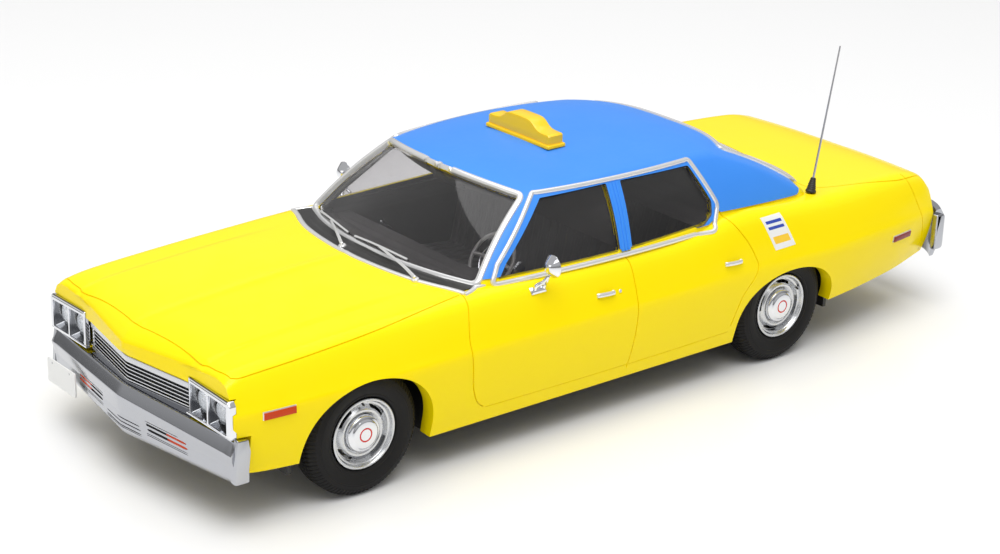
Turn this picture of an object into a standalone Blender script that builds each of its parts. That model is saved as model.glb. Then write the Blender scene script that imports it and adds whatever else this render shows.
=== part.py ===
"""Scale-model taxi cab, 1:18: a sealed die-cast four-door saloon with rolling wheels.

Run with: blender --background --python part.py
Lengths below are millimetres and are scaled to metres where a mesh is made.
X runs from nose to tail, Y to the car's right, Z up. The origin is on the floor,
under the middle of the overall length and width.
"""

import math

import bmesh
import bpy
from mathutils import Matrix, Vector

MM = 0.001

# ---- driving dimensions -------------------------------------------------------
OVERALL_LENGTH = 314.0
FRONT_END = -OVERALL_LENGTH / 2
REAR_END = OVERALL_LENGTH / 2
WHEELBASE = 172.0
FRONT_AXLE_X = -104.2
REAR_AXLE_X = FRONT_AXLE_X + WHEELBASE
TYRE_RADIUS = 19.6
TYRE_WIDTH = 11.4
RIM_RADIUS = 11.0
WHEEL_FACE_Y = 50.4
AXLE_RADIUS = 1.0
AXLE_HEIGHT = TYRE_RADIUS
ROOF_HEIGHT = 79.3
WALL = 1.8
GLASS = 1.0
GAP = 0.3

# ---- colours: base colour, roughness, metallic -----------------------------------
PAINTS = {
    "yellow_paint": ((0.95, 0.78, 0.0), 0.25, 0.0),
    "chrome": ((0.75, 0.75, 0.77), 0.12, 1.0),
    "silver_wheel": ((0.66, 0.67, 0.69), 0.3, 1.0),
    "black_plastic": ((0.02, 0.02, 0.022), 0.5, 0.0),
    "interior_grey": ((0.075, 0.07, 0.07), 0.6, 0.0),
    "rubber": ((0.018, 0.017, 0.017), 0.7, 0.0),
    "clear_glass": ((0.85, 0.88, 0.88), 0.05, 0.0),
    "amber_lens": ((0.9, 0.22, 0.02), 0.15, 0.0),
    "red_lens": ((0.45, 0.01, 0.01), 0.15, 0.0),
    "white_plate": ((0.9, 0.9, 0.9), 0.4, 0.0),
    "sign_yellow": ((0.98, 0.8, 0.0), 0.3, 0.0),
    "steel": ((0.55, 0.55, 0.56), 0.3, 1.0),
}


# ---- small tools -------------------------------------------------------------------
def clear_scene():
    for old in list(bpy.data.objects):
        bpy.data.objects.remove(old, do_unlink=True)


def paint(name):
    found = bpy.data.materials.get(name)
    if found:
        return found
    colour, roughness, metallic = PAINTS[name]
    made = bpy.data.materials.new(name)
    made.use_nodes = True
    shader = made.node_tree.nodes["Principled BSDF"]
    shader.inputs["Base Color"].default_value = (*colour, 1)
    shader.inputs["Roughness"].default_value = roughness
    shader.inputs["Metallic"].default_value = metallic
    made.diffuse_color = (*colour, 1)
    return made


def curve_through(knots):
    """A smooth function of x that passes through (x, value) knots and never overshoots."""
    xs = [k[0] for k in knots]
    ys = [k[1] for k in knots]
    steps = [xs[i + 1] - xs[i] for i in range(len(xs) - 1)]
    rises = [(ys[i + 1] - ys[i]) / steps[i] for i in range(len(steps))]
    slopes = [rises[0]]
    for i in range(1, len(rises)):
        before, after = rises[i - 1], rises[i]
        flat = before * after <= 0
        slopes.append(0.0 if flat else 2 * before * after / (before + after))
    slopes.append(rises[-1])

    def value(x):
        x = min(max(x, xs[0]), xs[-1])
        i = max(k for k in range(len(steps)) if xs[k] <= x or k == 0)
        t = (x - xs[i]) / steps[i]
        a = (1 + 2 * t) * (1 - t) ** 2 * ys[i] + t * t * (3 - 2 * t) * ys[i + 1]
        b = t * (1 - t) ** 2 * slopes[i] - t * t * (1 - t) * slopes[i + 1]
        return a + steps[i] * b

    return value


def spread(low, high, count):
    return [low + (high - low) * i / (count - 1) for i in range(count)]


def finish(name, mesh_maker, material, smooth_angle=35.0, helper=False):
    """Turns a bmesh drawn in millimetres into a named object in metres."""
    bmesh.ops.scale(mesh_maker, vec=(MM, MM, MM), verts=mesh_maker.verts)
    bmesh.ops.recalc_face_normals(mesh_maker, faces=mesh_maker.faces)
    mesh = bpy.data.meshes.new(name)
    mesh_maker.to_mesh(mesh)
    mesh_maker.free()
    mesh.shade_smooth()
    mesh.set_sharp_from_angle(angle=math.radians(smooth_angle))
    obj = bpy.data.objects.new(name, mesh)
    bpy.context.scene.collection.objects.link(obj)
    obj.data.materials.append(paint(material))
    if helper:
        obj.hide_render = True
        obj.display_type = "WIRE"
    return obj


def loft(name, rings, material, **options):
    """Skins closed rings with equal point counts, and caps both ends with a fan."""
    maker = bmesh.new()
    rows = [[maker.verts.new(p) for p in ring] for ring in rings]
    count = len(rings[0])
    for near, far in zip(rows, rows[1:]):
        for i in range(count):
            j = (i + 1) % count
            maker.faces.new((near[i], near[j], far[j], far[i]))
    for row in (rows[0], rows[-1]):
        middle = sum((v.co for v in row), Vector()) / count
        hub = maker.verts.new(middle)
        for i in range(count):
            maker.faces.new((row[i], row[(i + 1) % count], hub))
    return finish(name, maker, material, **options)


def prism(name, outline, axis, low, high, material="black_plastic", **options):
    """Extrudes a flat outline along an axis. The outline's two numbers are the other two axes."""
    maker = bmesh.new()

    def place(a, b, c):
        return {"X": (c, a, b), "Y": (a, c, b), "Z": (a, b, c)}[axis]

    near = [maker.verts.new(place(a, b, low)) for a, b in outline]
    face = maker.faces.new(near)
    grown = bmesh.ops.extrude_face_region(maker, geom=[face])
    moved = [g for g in grown["geom"] if isinstance(g, bmesh.types.BMVert)]
    bmesh.ops.translate(maker, verts=moved, vec=Vector(place(0, 0, high - low)))
    return finish(name, maker, material, **options)


def block(name, low, high, material="black_plastic", **options):
    outline = [(low[0], low[1]), (high[0], low[1]), (high[0], high[1]), (low[0], high[1])]
    return prism(name, outline, "Z", low[2], high[2], material, **options)


def turned(name, profile, material, steps=32, **options):
    """Spins a closed (radius, y) outline about the Y axis. Radius 0 points sit on the axis."""
    maker = bmesh.new()
    verts = [maker.verts.new((r, y, 0)) for r, y in profile]
    edges = [maker.edges.new((verts[i], verts[(i + 1) % len(verts)])) for i in range(len(verts))]
    edges = [e for e in edges if any(abs(v.co.x) > 1e-6 for v in e.verts)]
    bmesh.ops.spin(
        maker,
        geom=verts + edges,
        axis=(0, 1, 0),
        cent=(0, 0, 0),
        dvec=(0, 0, 0),
        angle=math.tau,
        steps=steps,
        use_merge=True,
    )
    bmesh.ops.remove_doubles(maker, verts=maker.verts, dist=0.002)
    loose = [e for e in maker.edges if not e.link_faces]
    bmesh.ops.delete(maker, geom=loose, context="EDGES")
    return finish(name, maker, material, **options)


def rod(name, path, radius, material, sides=8, **options):
    """A round bar that follows a path of points."""
    maker = bmesh.new()
    rings = []
    points = [Vector(p) for p in path]
    for i, point in enumerate(points):
        ahead = points[min(i + 1, len(points) - 1)] - points[max(i - 1, 0)]
        turn = ahead.to_track_quat("Z", "Y").to_matrix()
        size = radius[i] if isinstance(radius, (list, tuple)) else radius
        ring = []
        for k in range(sides):
            angle = math.tau * k / sides
            out = Vector((math.cos(angle), math.sin(angle), 0)) * size
            ring.append(maker.verts.new(point + turn @ out))
        rings.append(ring)
    for near, far in zip(rings, rings[1:]):
        for k in range(sides):
            maker.faces.new((near[k], near[(k + 1) % sides], far[(k + 1) % sides], far[k]))
    maker.faces.new(rings[0][::-1])
    maker.faces.new(rings[-1])
    return finish(name, maker, material, **options)


def boolean(target, other, operation):
    change = target.modifiers.new(operation.lower() + "_" + other.name, "BOOLEAN")
    change.operation = operation
    change.object = other
    change.solver = "EXACT"
    other.hide_render = True
    other.display_type = "WIRE"
    return target


def bevelled(obj, width, segments=2):
    edge = obj.modifiers.new("edges", "BEVEL")
    edge.width = width * MM
    edge.segments = segments
    edge.limit_method = "ANGLE"
    edge.angle_limit = math.radians(35)
    return obj


# ---- lower body: cross sections from nose to tail -----------------------------------
NOSE_X = -149.5
NOSE_CUT_X = -144.0
TAIL_X = 145.0
bottom_z = curve_through([
    (-150, 18.6), (-138, 17.4), (-127, 17.0), (-80, 12.6), (44, 12.4), (91, 16.6), (125, 18.4),
    (146, 21.0),
])
bottom_y = curve_through([
    (-150, 47.0), (-138, 49.0), (-120, 50.5), (-80, 50.5), (44, 50.5), (91, 50.0), (125, 46.5),
    (146, 43.0),
])
waist_y = curve_through([
    (-150, 51.0), (-138, 52.6), (-104, 54.2), (-60, 54.5), (50, 54.5), (80, 54.3), (120, 51.5),
    (146, 47.5),
])
waist_z = curve_through([(-150, 36.5), (-104, 36.5), (60, 36.0), (146, 36.0)])
shoulder_y = curve_through([
    (-150, 47.4), (-135, 47.8), (-100, 48.4), (-60, 49.4), (40, 50.0), (90, 48.6), (120, 46.6),
    (146, 43.6),
])
shoulder_z = curve_through([
    (
        -150, 46.4,
    ), (-147, 48.0), (-140, 49.2), (-120, 50.6), (-90, 52.0), (-57, 52.8), (-20, 52.7), (15, 52.9),
    (30, 54.0), (42, 56.2), (52, 56.4), (62, 55.4), (78, 53.9), (92, 53.2), (
        115, 53.0,
    ), (130, 52.6), (138, 51.2), (142, 49.6), (145, 46.4),
])
crown_z = curve_through([
    (
        -150, 43.6,
    ), (-147, 46.8), (-140, 49.4), (-120, 51.4), (-90, 53.4), (-64, 54.4), (0, 53.6), (80, 54.0),
    (100, 54.2), (125, 53.4), (136, 52.0), (142, 49.8), (145, 46.6),
])


def nose_sweep(x, y):
    """How far a station bows out at the nose, which is V-shaped in plan, and at the tail."""
    front = max(0.0, min(1.0, (-110 - x) / 40)) ** 1.5
    rear = max(0.0, min(1.0, (x - 110) / 35)) ** 1.5
    vee = 5.0 * max(0.0, 1 - abs(y) / 30) + 0.4 * max(0.0, 1 - (y / 52) ** 2)
    bow = 2.6 * max(0.0, 1 - (y / 50) ** 2)
    return bow * rear - vee * front


def lower_half(x, inset=0.0, fine=1):
    """Points of the right half of a section, from the sill's bottom edge up and in to the centre line."""
    low = Vector((bottom_y(x) - inset, bottom_z(x)))
    waist = Vector((waist_y(x) - inset, waist_z(x)))
    shoulder = Vector((shoulder_y(x) - inset, shoulder_z(x) - inset))
    middle = Vector((0.0, crown_z(x) - inset))
    points = []
    for t in spread(0, 1, 3 * fine + 1)[:-1]:
        bulge = math.sin(math.pi * t) * 0.7
        points.append(low.lerp(waist, t) + Vector((bulge, 0)))
    corner_in, corner_out = 0.30, 0.12
    start = shoulder.lerp(waist, corner_in)
    end = shoulder.lerp(middle, corner_out)
    points.append(waist)
    for t in spread(0, 1, 3 * fine + 1)[1:-1]:
        bulge = math.sin(math.pi * t) * 0.25
        points.append(waist.lerp(start, t) + Vector((bulge, 0)))
    for t in spread(0, 1, 3 * fine + 1):
        points.append(start.lerp(shoulder, t).lerp(shoulder.lerp(end, t), t))
    for t in spread(0, 1, 4 * fine + 1)[1:]:
        points.append(end.lerp(middle, t))
    return points


def lower_ring(x, inset=0.0, fine=1, sink=0.0):
    half = lower_half(x, inset, fine)
    ring = [(x + nose_sweep(x, p.x), p.x, p.y) for p in half]
    ring += [(x + nose_sweep(x, p.x), -p.x, p.y) for p in reversed(half[:-1])]
    if sink:
        edge_y = half[0].x
        z = half[0].y - sink
        ring = [(x, edge_y, z)] + ring + [(x, -edge_y, z)]
    return ring


OUTER_STATIONS = [
    NOSE_X, -148, -146, -143, -138, -130, -120, -110, -100, -90, -80, -68, -50, -30, -10, 10, 30, 42, 52,
    64, 78, 92, 106, 118, 128, 134, 138, 141, 143.5, TAIL_X,
]
INNER_STATIONS = [-141, -136, -125, -110, -90, -70, -40, 0, 35, 45, 60, 80, 100, 120, 130, 136]


# ---- greenhouse: a wall that leans in from the belt, closed by a crowned roof ---------------
BELT_Z = 53.4
HOUSE_DROP = 6.0
spine_z = curve_through([
    (-42, 75.6), (-38, 76.8), (-30, 78.0), (-18, 78.7), (2, ROOF_HEIGHT), (24, 79.2), (40, 78.2),
    (50, 76.4), (55, 75.0),
])


def front_edge(side, level):
    """The windscreen: side is 0 at the centre, 1 at the pillar; level is 0 at the foot, 1 at the head."""
    bend = side ** 2.2
    foot = Vector((-67.5 + 10.0 * bend, 43.8 * side, 53.6 - 0.9 * bend))
    head = Vector((-39.0 + 6.6 * bend, 34.2 * side, 76.4 - 2.2 * bend))
    return foot.lerp(head, level) + Vector((-1.1, 0, 0.9)) * math.sin(math.pi * min(level, 1))


def rear_edge(side, level):
    """The rear window surface, measured the same way."""
    bend = side ** 3.2
    foot = Vector((93.5 - 9.5 * bend, 41.4 * side, 54.2))
    head = Vector((54.0 - 10.0 * bend, 36.4 * side, 75.2 - 1.6 * bend))
    return foot.lerp(head, level) + Vector((0.9, 0, 1.1)) * math.sin(math.pi * min(level, 1))


def flank(along, level):
    """The side glass surface between the windscreen's pillar and the rear window's."""
    front, rear = front_edge(1.0, level), rear_edge(1.0, level)
    point = front.lerp(rear, along)
    swell = math.sin(math.pi * along) ** 0.75
    point.y += swell * (5.2 * (1 - level) + 2.6 * level) + 0.5 * math.sin(math.pi * min(max(level, 0), 1))
    point.z += swell * (1.4 * level + 0.4 * (1 - level))
    return point


def house_half(level, fine=1):
    points = [front_edge(s, level) for s in spread(0, 1, 5 * fine + 1)]
    points += [flank(a, level) for a in spread(0, 1, 12 * fine + 1)[1:]]
    points += [rear_edge(s, level) for s in spread(1, 0, 5 * fine + 1)[1:]]
    return points


def make_house(name, inset=0.0, drop=HOUSE_DROP, fine=1):
    """The closed solid under the greenhouse's surface, drawn in by an inset."""
    maker = bmesh.new()
    rows = []
    levels = [0.0, 0.25, 0.5, 0.75, 1.0]
    middle = Vector((10, 0, 0))
    shrink = Vector((1 - inset / 72.0, 1 - inset / 42.0, 1))

    def drawn_in(p, down=0.0):
        moved = Vector(((p.x - middle.x) * shrink.x + middle.x, p.y * shrink.y, p.z - down))
        return moved

    half_rows = []
    for level in levels:
        down = inset * (level ** 2)
        half_rows.append([drawn_in(p, down) for p in house_half(level, fine)])
    foot = [Vector((p.x, p.y, BELT_Z - drop)) for p in half_rows[0]]
    half_rows.insert(0, foot)
    for half in half_rows:
        right = [maker.verts.new(p) for p in half]
        left = [maker.verts.new((p.x, -p.y, p.z)) for p in half[1:-1]]
        rows.append(right + left[::-1])
    count = len(rows[0])
    for near, far in zip(rows, rows[1:]):
        for i in range(count):
            j = (i + 1) % count
            maker.faces.new((near[i], near[j], far[j], far[i]))
    last = len(half_rows[0]) - 1
    for row, roof in ((rows[-1], True), (rows[0], False)):
        strips = []
        for i in range(1, last):
            right, left = row[i], row[count - i]
            strip = [right]
            for t in spread(1, -1, 7)[1:-1]:
                x, y = right.co.x, right.co.y * t
                z = right.co.z
                if roof:
                    z += max(spine_z(x) - inset - right.co.z, 0.0) * (1 - abs(t) ** 2.2)
                strip.append(maker.verts.new((x, y, z)))
            strip.append(left)
            strips.append(strip)
        for one, two in zip(strips, strips[1:]):
            for k in range(len(one) - 1):
                maker.faces.new((one[k], one[k + 1], two[k + 1], two[k]))
        for tip, strip in ((row[0], strips[0]), (row[last], strips[-1])):
            for k in range(len(strip) - 1):
                maker.faces.new((tip, strip[k], strip[k + 1]))
    return finish(name, maker, "yellow_paint", helper=True)


def side_point(x, z):
    """The half width of the side glass surface at a place on the side."""
    low, high = 0.0, 1.0
    for _ in range(24):
        level = (low + high) / 2
        front, rear = front_edge(1, level).x, rear_edge(1, level).x
        along = min(max((x - front) / (rear - front), 0.0), 1.0)
        point = flank(along, level)
        if point.z < z:
            low = level
        else:
            high = level
    return point.y


def window_outline(front):
    """Side window openings in x and z: the front door's and the rear door's."""
    if front:
        return [(-51.4, 54.0), (-47.6, 58.2), (-29.2, 73.4), (-4.4, 74.0), (-5.2, 54.0)]
    return [(-0.4, 54.0), (1.2, 74.0), (30.6, 73.4), (36.6, 61.6), (35.8, 57.6), (31.5, 55.0)]


def shifted(outline, amount):
    """The outline moved in by an amount on every edge."""
    centre = Vector((sum(p[0] for p in outline), sum(p[1] for p in outline))) / len(outline)
    moved = []
    count = len(outline)
    for i in range(count):
        before, here, after = (Vector(outline[(i + k) % count]) for k in (-1, 0, 1))
        inwards = []
        for edge in (here - before, after - here):
            across = Vector((-edge.y, edge.x)).normalized()
            inwards.append(across if across.dot(centre - here) > 0 else -across)
        inward = (inwards[0] + inwards[1]).normalized()
        moved.append(tuple(here + inward * amount / max(inward.dot(inwards[0]), 0.3)))
    return moved


def arch_outline(axle_x, radius, top, floor):
    """A wheel opening: an arch with a flattened top, closed below the sill."""
    points = [(axle_x + radius, floor)]
    for i in range(13):
        angle = math.pi * i / 12
        points.append((axle_x + radius * math.cos(angle), 16 + (top - 16) * math.sin(angle) ** 0.8))
    points.append((axle_x - radius, floor))
    return points


def screen_patch(name, edge, levels, side, outer, inner, material, steps=(5, 9), **options):
    """A thick piece of the front or rear screen surface between two offsets from it."""
    maker = bmesh.new()
    lean = edge(0, 1) - edge(0, 0)
    outward = Vector((-lean.z, 0, lean.x)).normalized()
    if outward.z < 0:
        outward.negate()

    def sheet(offset):
        rows = []
        for level in spread(*levels, steps[0]):
            row = []
            for s in spread(-side, side, steps[1]):
                p = edge(abs(s), level) + outward * offset
                row.append(maker.verts.new((p.x, math.copysign(p.y, s), p.z)))
            rows.append(row)
        return rows

    top, under = sheet(outer), sheet(inner)
    rows, columns = steps
    for i in range(rows - 1):
        for j in range(columns - 1):
            maker.faces.new((top[i][j], top[i][j + 1], top[i + 1][j + 1], top[i + 1][j]))
            maker.faces.new((under[i][j], under[i + 1][j], under[i + 1][j + 1], under[i][j + 1]))
    border = [(i, 0) for i in range(rows)] + [(rows - 1, j) for j in range(1, columns)]
    border += [(i, columns - 1) for i in range(rows - 2, -1, -1)]
    border += [(0, j) for j in range(columns - 2, 0, -1)]
    for k, (i, j) in enumerate(border):
        m, n = border[(k + 1) % len(border)]
        maker.faces.new((top[i][j], top[m][n], under[m][n], under[i][j]))
    return finish(name, maker, material, **options)


INNER_SINK = 9.0
ARCH_REACH = 23.2
FRONT_ARCH_TOP = 38.0
REAR_ARCH_TOP = 34.2
SCREEN_LEVELS = (0.03, 0.95)
BACKLIGHT_LEVELS = (0.08, 0.88)
SCREEN_SIDE = 0.955
BACKLIGHT_SIDE = 0.84


def make_body_shell():
    body = loft("body_shell", [lower_ring(x) for x in OUTER_STATIONS], "yellow_paint")
    boolean(body, make_house("house_outer"), "UNION")
    inner_rings = [lower_ring(x, WALL, 1, INNER_SINK) for x in INNER_STATIONS]
    inner = loft("lower_inner", inner_rings, "yellow_paint", helper=True)
    boolean(body, inner, "DIFFERENCE")
    boolean(body, make_house("house_inner", WALL, 14.0), "DIFFERENCE")
    for axle, top, tag in ((FRONT_AXLE_X, FRONT_ARCH_TOP, "front"), (REAR_AXLE_X, REAR_ARCH_TOP, "rear")):
        arch = prism("arch_" + tag, arch_outline(axle, ARCH_REACH, top, 0.0), "Y", -60, 60, helper=True)
        boolean(body, arch, "DIFFERENCE")
    front = screen_patch(
        "screen_cut", front_edge, SCREEN_LEVELS, SCREEN_SIDE, 4, -4, "chrome", helper=True,
    )
    rear = screen_patch(
        "backlight_cut", rear_edge, BACKLIGHT_LEVELS, BACKLIGHT_SIDE, 4, -4, "chrome", helper=True,
    )
    boolean(body, front, "DIFFERENCE")
    boolean(body, rear, "DIFFERENCE")
    for tag, first in (("front", True), ("rear", False)):
        opening = prism("window_cut_" + tag, window_outline(first), "Y", -60, 60, helper=True)
        boolean(body, opening, "DIFFERENCE")
    lamps = block("lamp_bay", (-165, -49.6, 29.0), (-145.2, 49.6, 42.8), helper=True)
    boolean(body, lamps, "DIFFERENCE")
    frames = block("bezel_bay", (-165, -60.0, 29.0), (-148.3, 60.0, 42.8), helper=True)
    boolean(body, frames, "DIFFERENCE")
    behind_bumper = block("bumper_bay", (-165, -60.0, 5.0), (NOSE_CUT_X, 60.0, 31.2), helper=True)
    boolean(body, behind_bumper, "DIFFERENCE")
    return body


def make_glass():
    low, high = SCREEN_LEVELS
    screen_patch(
        "windscreen", front_edge, (low + 0.015, high - 0.015), SCREEN_SIDE - 0.012, -0.4, -0.4 - GLASS,
        "clear_glass",
    )
    low, high = BACKLIGHT_LEVELS
    screen_patch(
        "rear_window", rear_edge, (low + 0.015, high - 0.015), BACKLIGHT_SIDE - 0.012, -0.4, -0.4 - GLASS,
        "clear_glass",
    )
    for hand, tag in ((-1, "left"), (1, "right")):
        for first, door in ((True, "front"), (False, "rear")):
            outline = shifted(window_outline(first), GAP)
            maker = bmesh.new()
            skins = []
            for depth in (0.5, 0.5 + GLASS):
                places = [(x, hand * (side_point(x, z) - depth), z) for x, z in outline]
                skins.append([maker.verts.new(place) for place in places])
            maker.faces.new(skins[0])
            maker.faces.new(skins[1][::-1])
            for i in range(len(outline)):
                j = (i + 1) % len(outline)
                maker.faces.new((skins[0][i], skins[0][j], skins[1][j], skins[1][i]))
            finish(f"{door}_door_glass_{tag}", maker, "clear_glass")


# ---- underside --------------------------------------------------------------------------
PLATE_BOTTOM = 12.8
PLATE_TOP = 14.8
SCREW_BOSSES = (-50.0, 30.0)
WHEEL_HOUSE_TOP = 42.0


def make_base_plate():
    """The chassis moulding: a flat floor, a bored carrier for each axle and a box over each wheel."""
    outline = [
        (-136, PLATE_TOP + 5), (-128, PLATE_TOP), (92, PLATE_TOP), (132, PLATE_TOP + 9),
        (132, PLATE_TOP + 11),
    ]
    outline += [(92, PLATE_TOP + 2), (-128, PLATE_TOP + 2), (-136, PLATE_TOP + 7)]
    plate = prism("base_plate", [(x, z - 2) for x, z in outline], "Y", -43.0, 43.0, "black_plastic")
    for x in SCREW_BOSSES:
        boss = prism(
            f"boss_{x}", circle(x, 0, 4.0, 24), "Z", PLATE_BOTTOM - 1.2, PLATE_BOTTOM + 1, helper=True,
        )
        boolean(plate, boss, "UNION")
    roof = WHEEL_HOUSE_TOP
    for axle, tag in ((FRONT_AXLE_X, "front"), (REAR_AXLE_X, "rear")):
        carrier = block(
            "carrier_" + tag, (axle - 5, -32, PLATE_BOTTOM + 1), (axle + 5, 32, AXLE_HEIGHT + 3.2),
            helper=True,
        )
        boolean(plate, carrier, "UNION")
        for side in (-1, 1):
            low, high = sorted((side * 33.0, side * 47.0))
            house = block(
                f"wheel_house_{tag}_{side}", (axle - 25.4, low, PLATE_BOTTOM), (axle + 25.4, high, roof),
                helper=True,
            )
            boolean(plate, house, "UNION")
        for side in (-1, 1):
            low, high = sorted((side * 34.4, side * 60.0))
            well = block(
                f"wheel_well_{tag}_{side}", (axle - 24, low, 5), (axle + 24, high, roof - 1.4),
                helper=True,
            )
            boolean(plate, well, "DIFFERENCE")
        bore = prism(
            "bore_" + tag, circle(axle, AXLE_HEIGHT, AXLE_RADIUS + GAP, 16), "Y", -50, 50, helper=True,
        )
        boolean(plate, bore, "DIFFERENCE")
    return plate


def circle(cx, cz, radius, sides):
    turns = [math.tau * i / sides for i in range(sides)]
    return [(cx + radius * math.cos(turn), cz + radius * math.sin(turn)) for turn in turns]


def make_running_gear():
    for axle, tag in ((FRONT_AXLE_X, "front"), (REAR_AXLE_X, "rear")):
        prism(tag + "_axle", circle(axle, AXLE_HEIGHT, AXLE_RADIUS, 16), "Y", -45.5, 45.5, "steel")
    pipe = [
        (-70, 16, 10.9), (20, 16, 10.9), (38, 24, 10.9), (60, 27, 10.9), (100, 28, 10.9), (116, 30, 11.6),
        (140, 31, 17.0),
    ]
    rod("exhaust_pipe", pipe, 1.3, "steel", sides=10)
    tank = block("fuel_tank", (95, -22, 9.4), (118, 20, PLATE_BOTTOM - GAP), "black_plastic")
    bevelled(tank, 1.0)


# ---- wheels ---------------------------------------------------------------------------
def make_wheel(tag, axle_x, hand):
    """Tyre, rim and hub cap of one corner. The outline's y runs outward from the wheel's inner face."""
    face = WHEEL_FACE_Y
    inner = face - TYRE_WIDTH
    r = TYRE_RADIUS
    tyre = [
        (
            RIM_RADIUS + 0.25, inner + 1.3,
        ), (14.0, inner + 0.3), (17.2, inner + 0.4), (19.1, inner + 1.7), (r, inner + 3.0),
        (r, face - 3.0), (19.1, face - 1.7), (17.2, face - 0.4), (14.0, face - 0.3), (
            RIM_RADIUS + 0.25, face - 1.3,
        ),
    ]
    rim = [
        (
            AXLE_RADIUS + GAP, inner + 2.0,
        ), (4.0, inner + 2.0), (4.4, face - 4.2), (8.6, face - 4.2), (8.8, inner + 1.4),
        (RIM_RADIUS, inner + 1.0), (RIM_RADIUS, face - 0.9), (
            RIM_RADIUS - 0.9, face - 0.8,
        ), (9.4, face - 2.6),
        (8.6, face - 2.7), (7.0, face - 1.7), (6.1, face - 2.4), (0.0, face - 2.4), (0.0, face - 4.6), (
            AXLE_RADIUS + GAP, face - 4.6,
        ),
    ]
    cap = [
        (0.0, face + 0.5), (3.2, face + 0.4), (5.0, face), (5.8, face - 1.0), (5.8, face - 2.4 + 0.3),
        (0.0, face - 2.4 + 0.3),
    ]
    joint = bpy.data.objects.new("wheel_joint_" + tag, None)
    joint.location = (axle_x * MM, 0, AXLE_HEIGHT * MM)
    bpy.context.scene.collection.objects.link(joint)
    for name, outline, material, steps in (
        ("tyre_", tyre, "rubber", 40),
        ("rim_", rim, "silver_wheel", 32),
        ("hub_cap_", cap, "chrome", 24),
    ):
        piece = turned(name + tag, [(a, b * hand) for a, b in outline], material, steps)
        piece.parent = joint


def make_wheels():
    for axle, end in ((FRONT_AXLE_X, "front"), (REAR_AXLE_X, "rear")):
        for hand, side in ((-1, "left"), (1, "right")):
            make_wheel(f"{end}_{side}", axle, hand)


# ---- bright work at the nose and tail --------------------------------------------------
def swept_bar(name, section_at, stations, material, **options):
    """Lofts closed sections across the car: section_at(y) gives (x, z) points."""
    rings = [[(x, y, z) for x, z in section_at(y)] for y in stations]
    return loft(name, rings, material, **options)


def bumper_front_x(y):
    """The crease of the bumper in plan: a V whose ends sweep back at the corners."""
    a = abs(y)
    vee = 6.0 * min(a / 47, 1.0)
    corner = 0.9 * max(0.0, (a - 47) / 5) ** 2
    return FRONT_END + vee + corner


def front_bumper_section(y):
    """A shelf under the grille, a sharp crease, a flat face and a short lip that turns under."""
    share = min(abs(y) / 52, 1)
    x = bumper_front_x(y)
    shelf = 31.0 - 1.6 * share
    crease = 27.9 - 2.2 * share
    low = 15.2 + 1.4 * share
    back = min(x + 6.0, NOSE_CUT_X - GAP)
    return [
        (back, shelf), (x + 2.0, shelf), (x, crease), (x + 0.9, 22.0), (x + 1.0, low + 1.6),
        (x + 2.0, low), (back, low),
    ]


def make_front_bumper():
    stations = [-51.0, -49.5, -47, -40, -32, -16, 0, 16, 32, 40, 47, 49.5, 51.0]
    bar = swept_bar("front_bumper", front_bumper_section, stations, "chrome")
    for side in (-1, 1):
        outline = [
            (-150.2, 17.0), (-145.6, 17.3), (-144.3, 26.4), (-145.2, 30.4), (-148.9, 30.6),
            (-149.6, 26.2),
        ]
        low, high = sorted((side * 50.6, side * 52.2))
        boolean(bar, prism(f"wrap_{side}", outline, "Y", low, high, "chrome", helper=True), "UNION")
    return bar


def rear_bumper_section(y):
    a = abs(y)
    corner = 5.0 * max(0.0, (a - 36) / 12) ** 2
    x = REAR_END - corner - 0.8 * (a / 48) ** 2
    return [
        (x - 5, 37.4), (x - 2.4, 37.6), (x - 0.4, 35.0), (x, 30.0), (x - 1.4, 26.0), (x - 4.4, 20.4),
        (x - 6.4, 20.4),
    ]


def make_rear_bumper():
    stations = [-48.4, -46, -42, -36, -24, -12, 0, 12, 24, 36, 42, 46, 48.4]
    bar = swept_bar("rear_bumper", rear_bumper_section, stations, "chrome")
    for side in (-1, 1):
        low, high = sorted((side * 48.2, side * 50.0))
        wrap = block(f"rear_wrap_{side}", (145.0, low, 23.0), (149.4, high, 36.0), "chrome", helper=True)
        boolean(bar, wrap, "UNION")
    return bar


def make_grille():
    """A V-shaped plate that fills the bay between the lamps."""

    def section(y):
        x = -153.6 + 4.6 * abs(y) / 28
        return [(x, 31.8), (x, 39.6), (x + 2.6, 39.6), (x + 2.6, 31.8)]

    swept_bar("grille", section, [-28.2, -14, 0, 14, 28.2], "chrome")


LAMP_Z = 36.2
LAMP_RADIUS = 3.7
LAMP_FACE_X = -149.2
LAMP_BACK_X = -147.4


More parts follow.
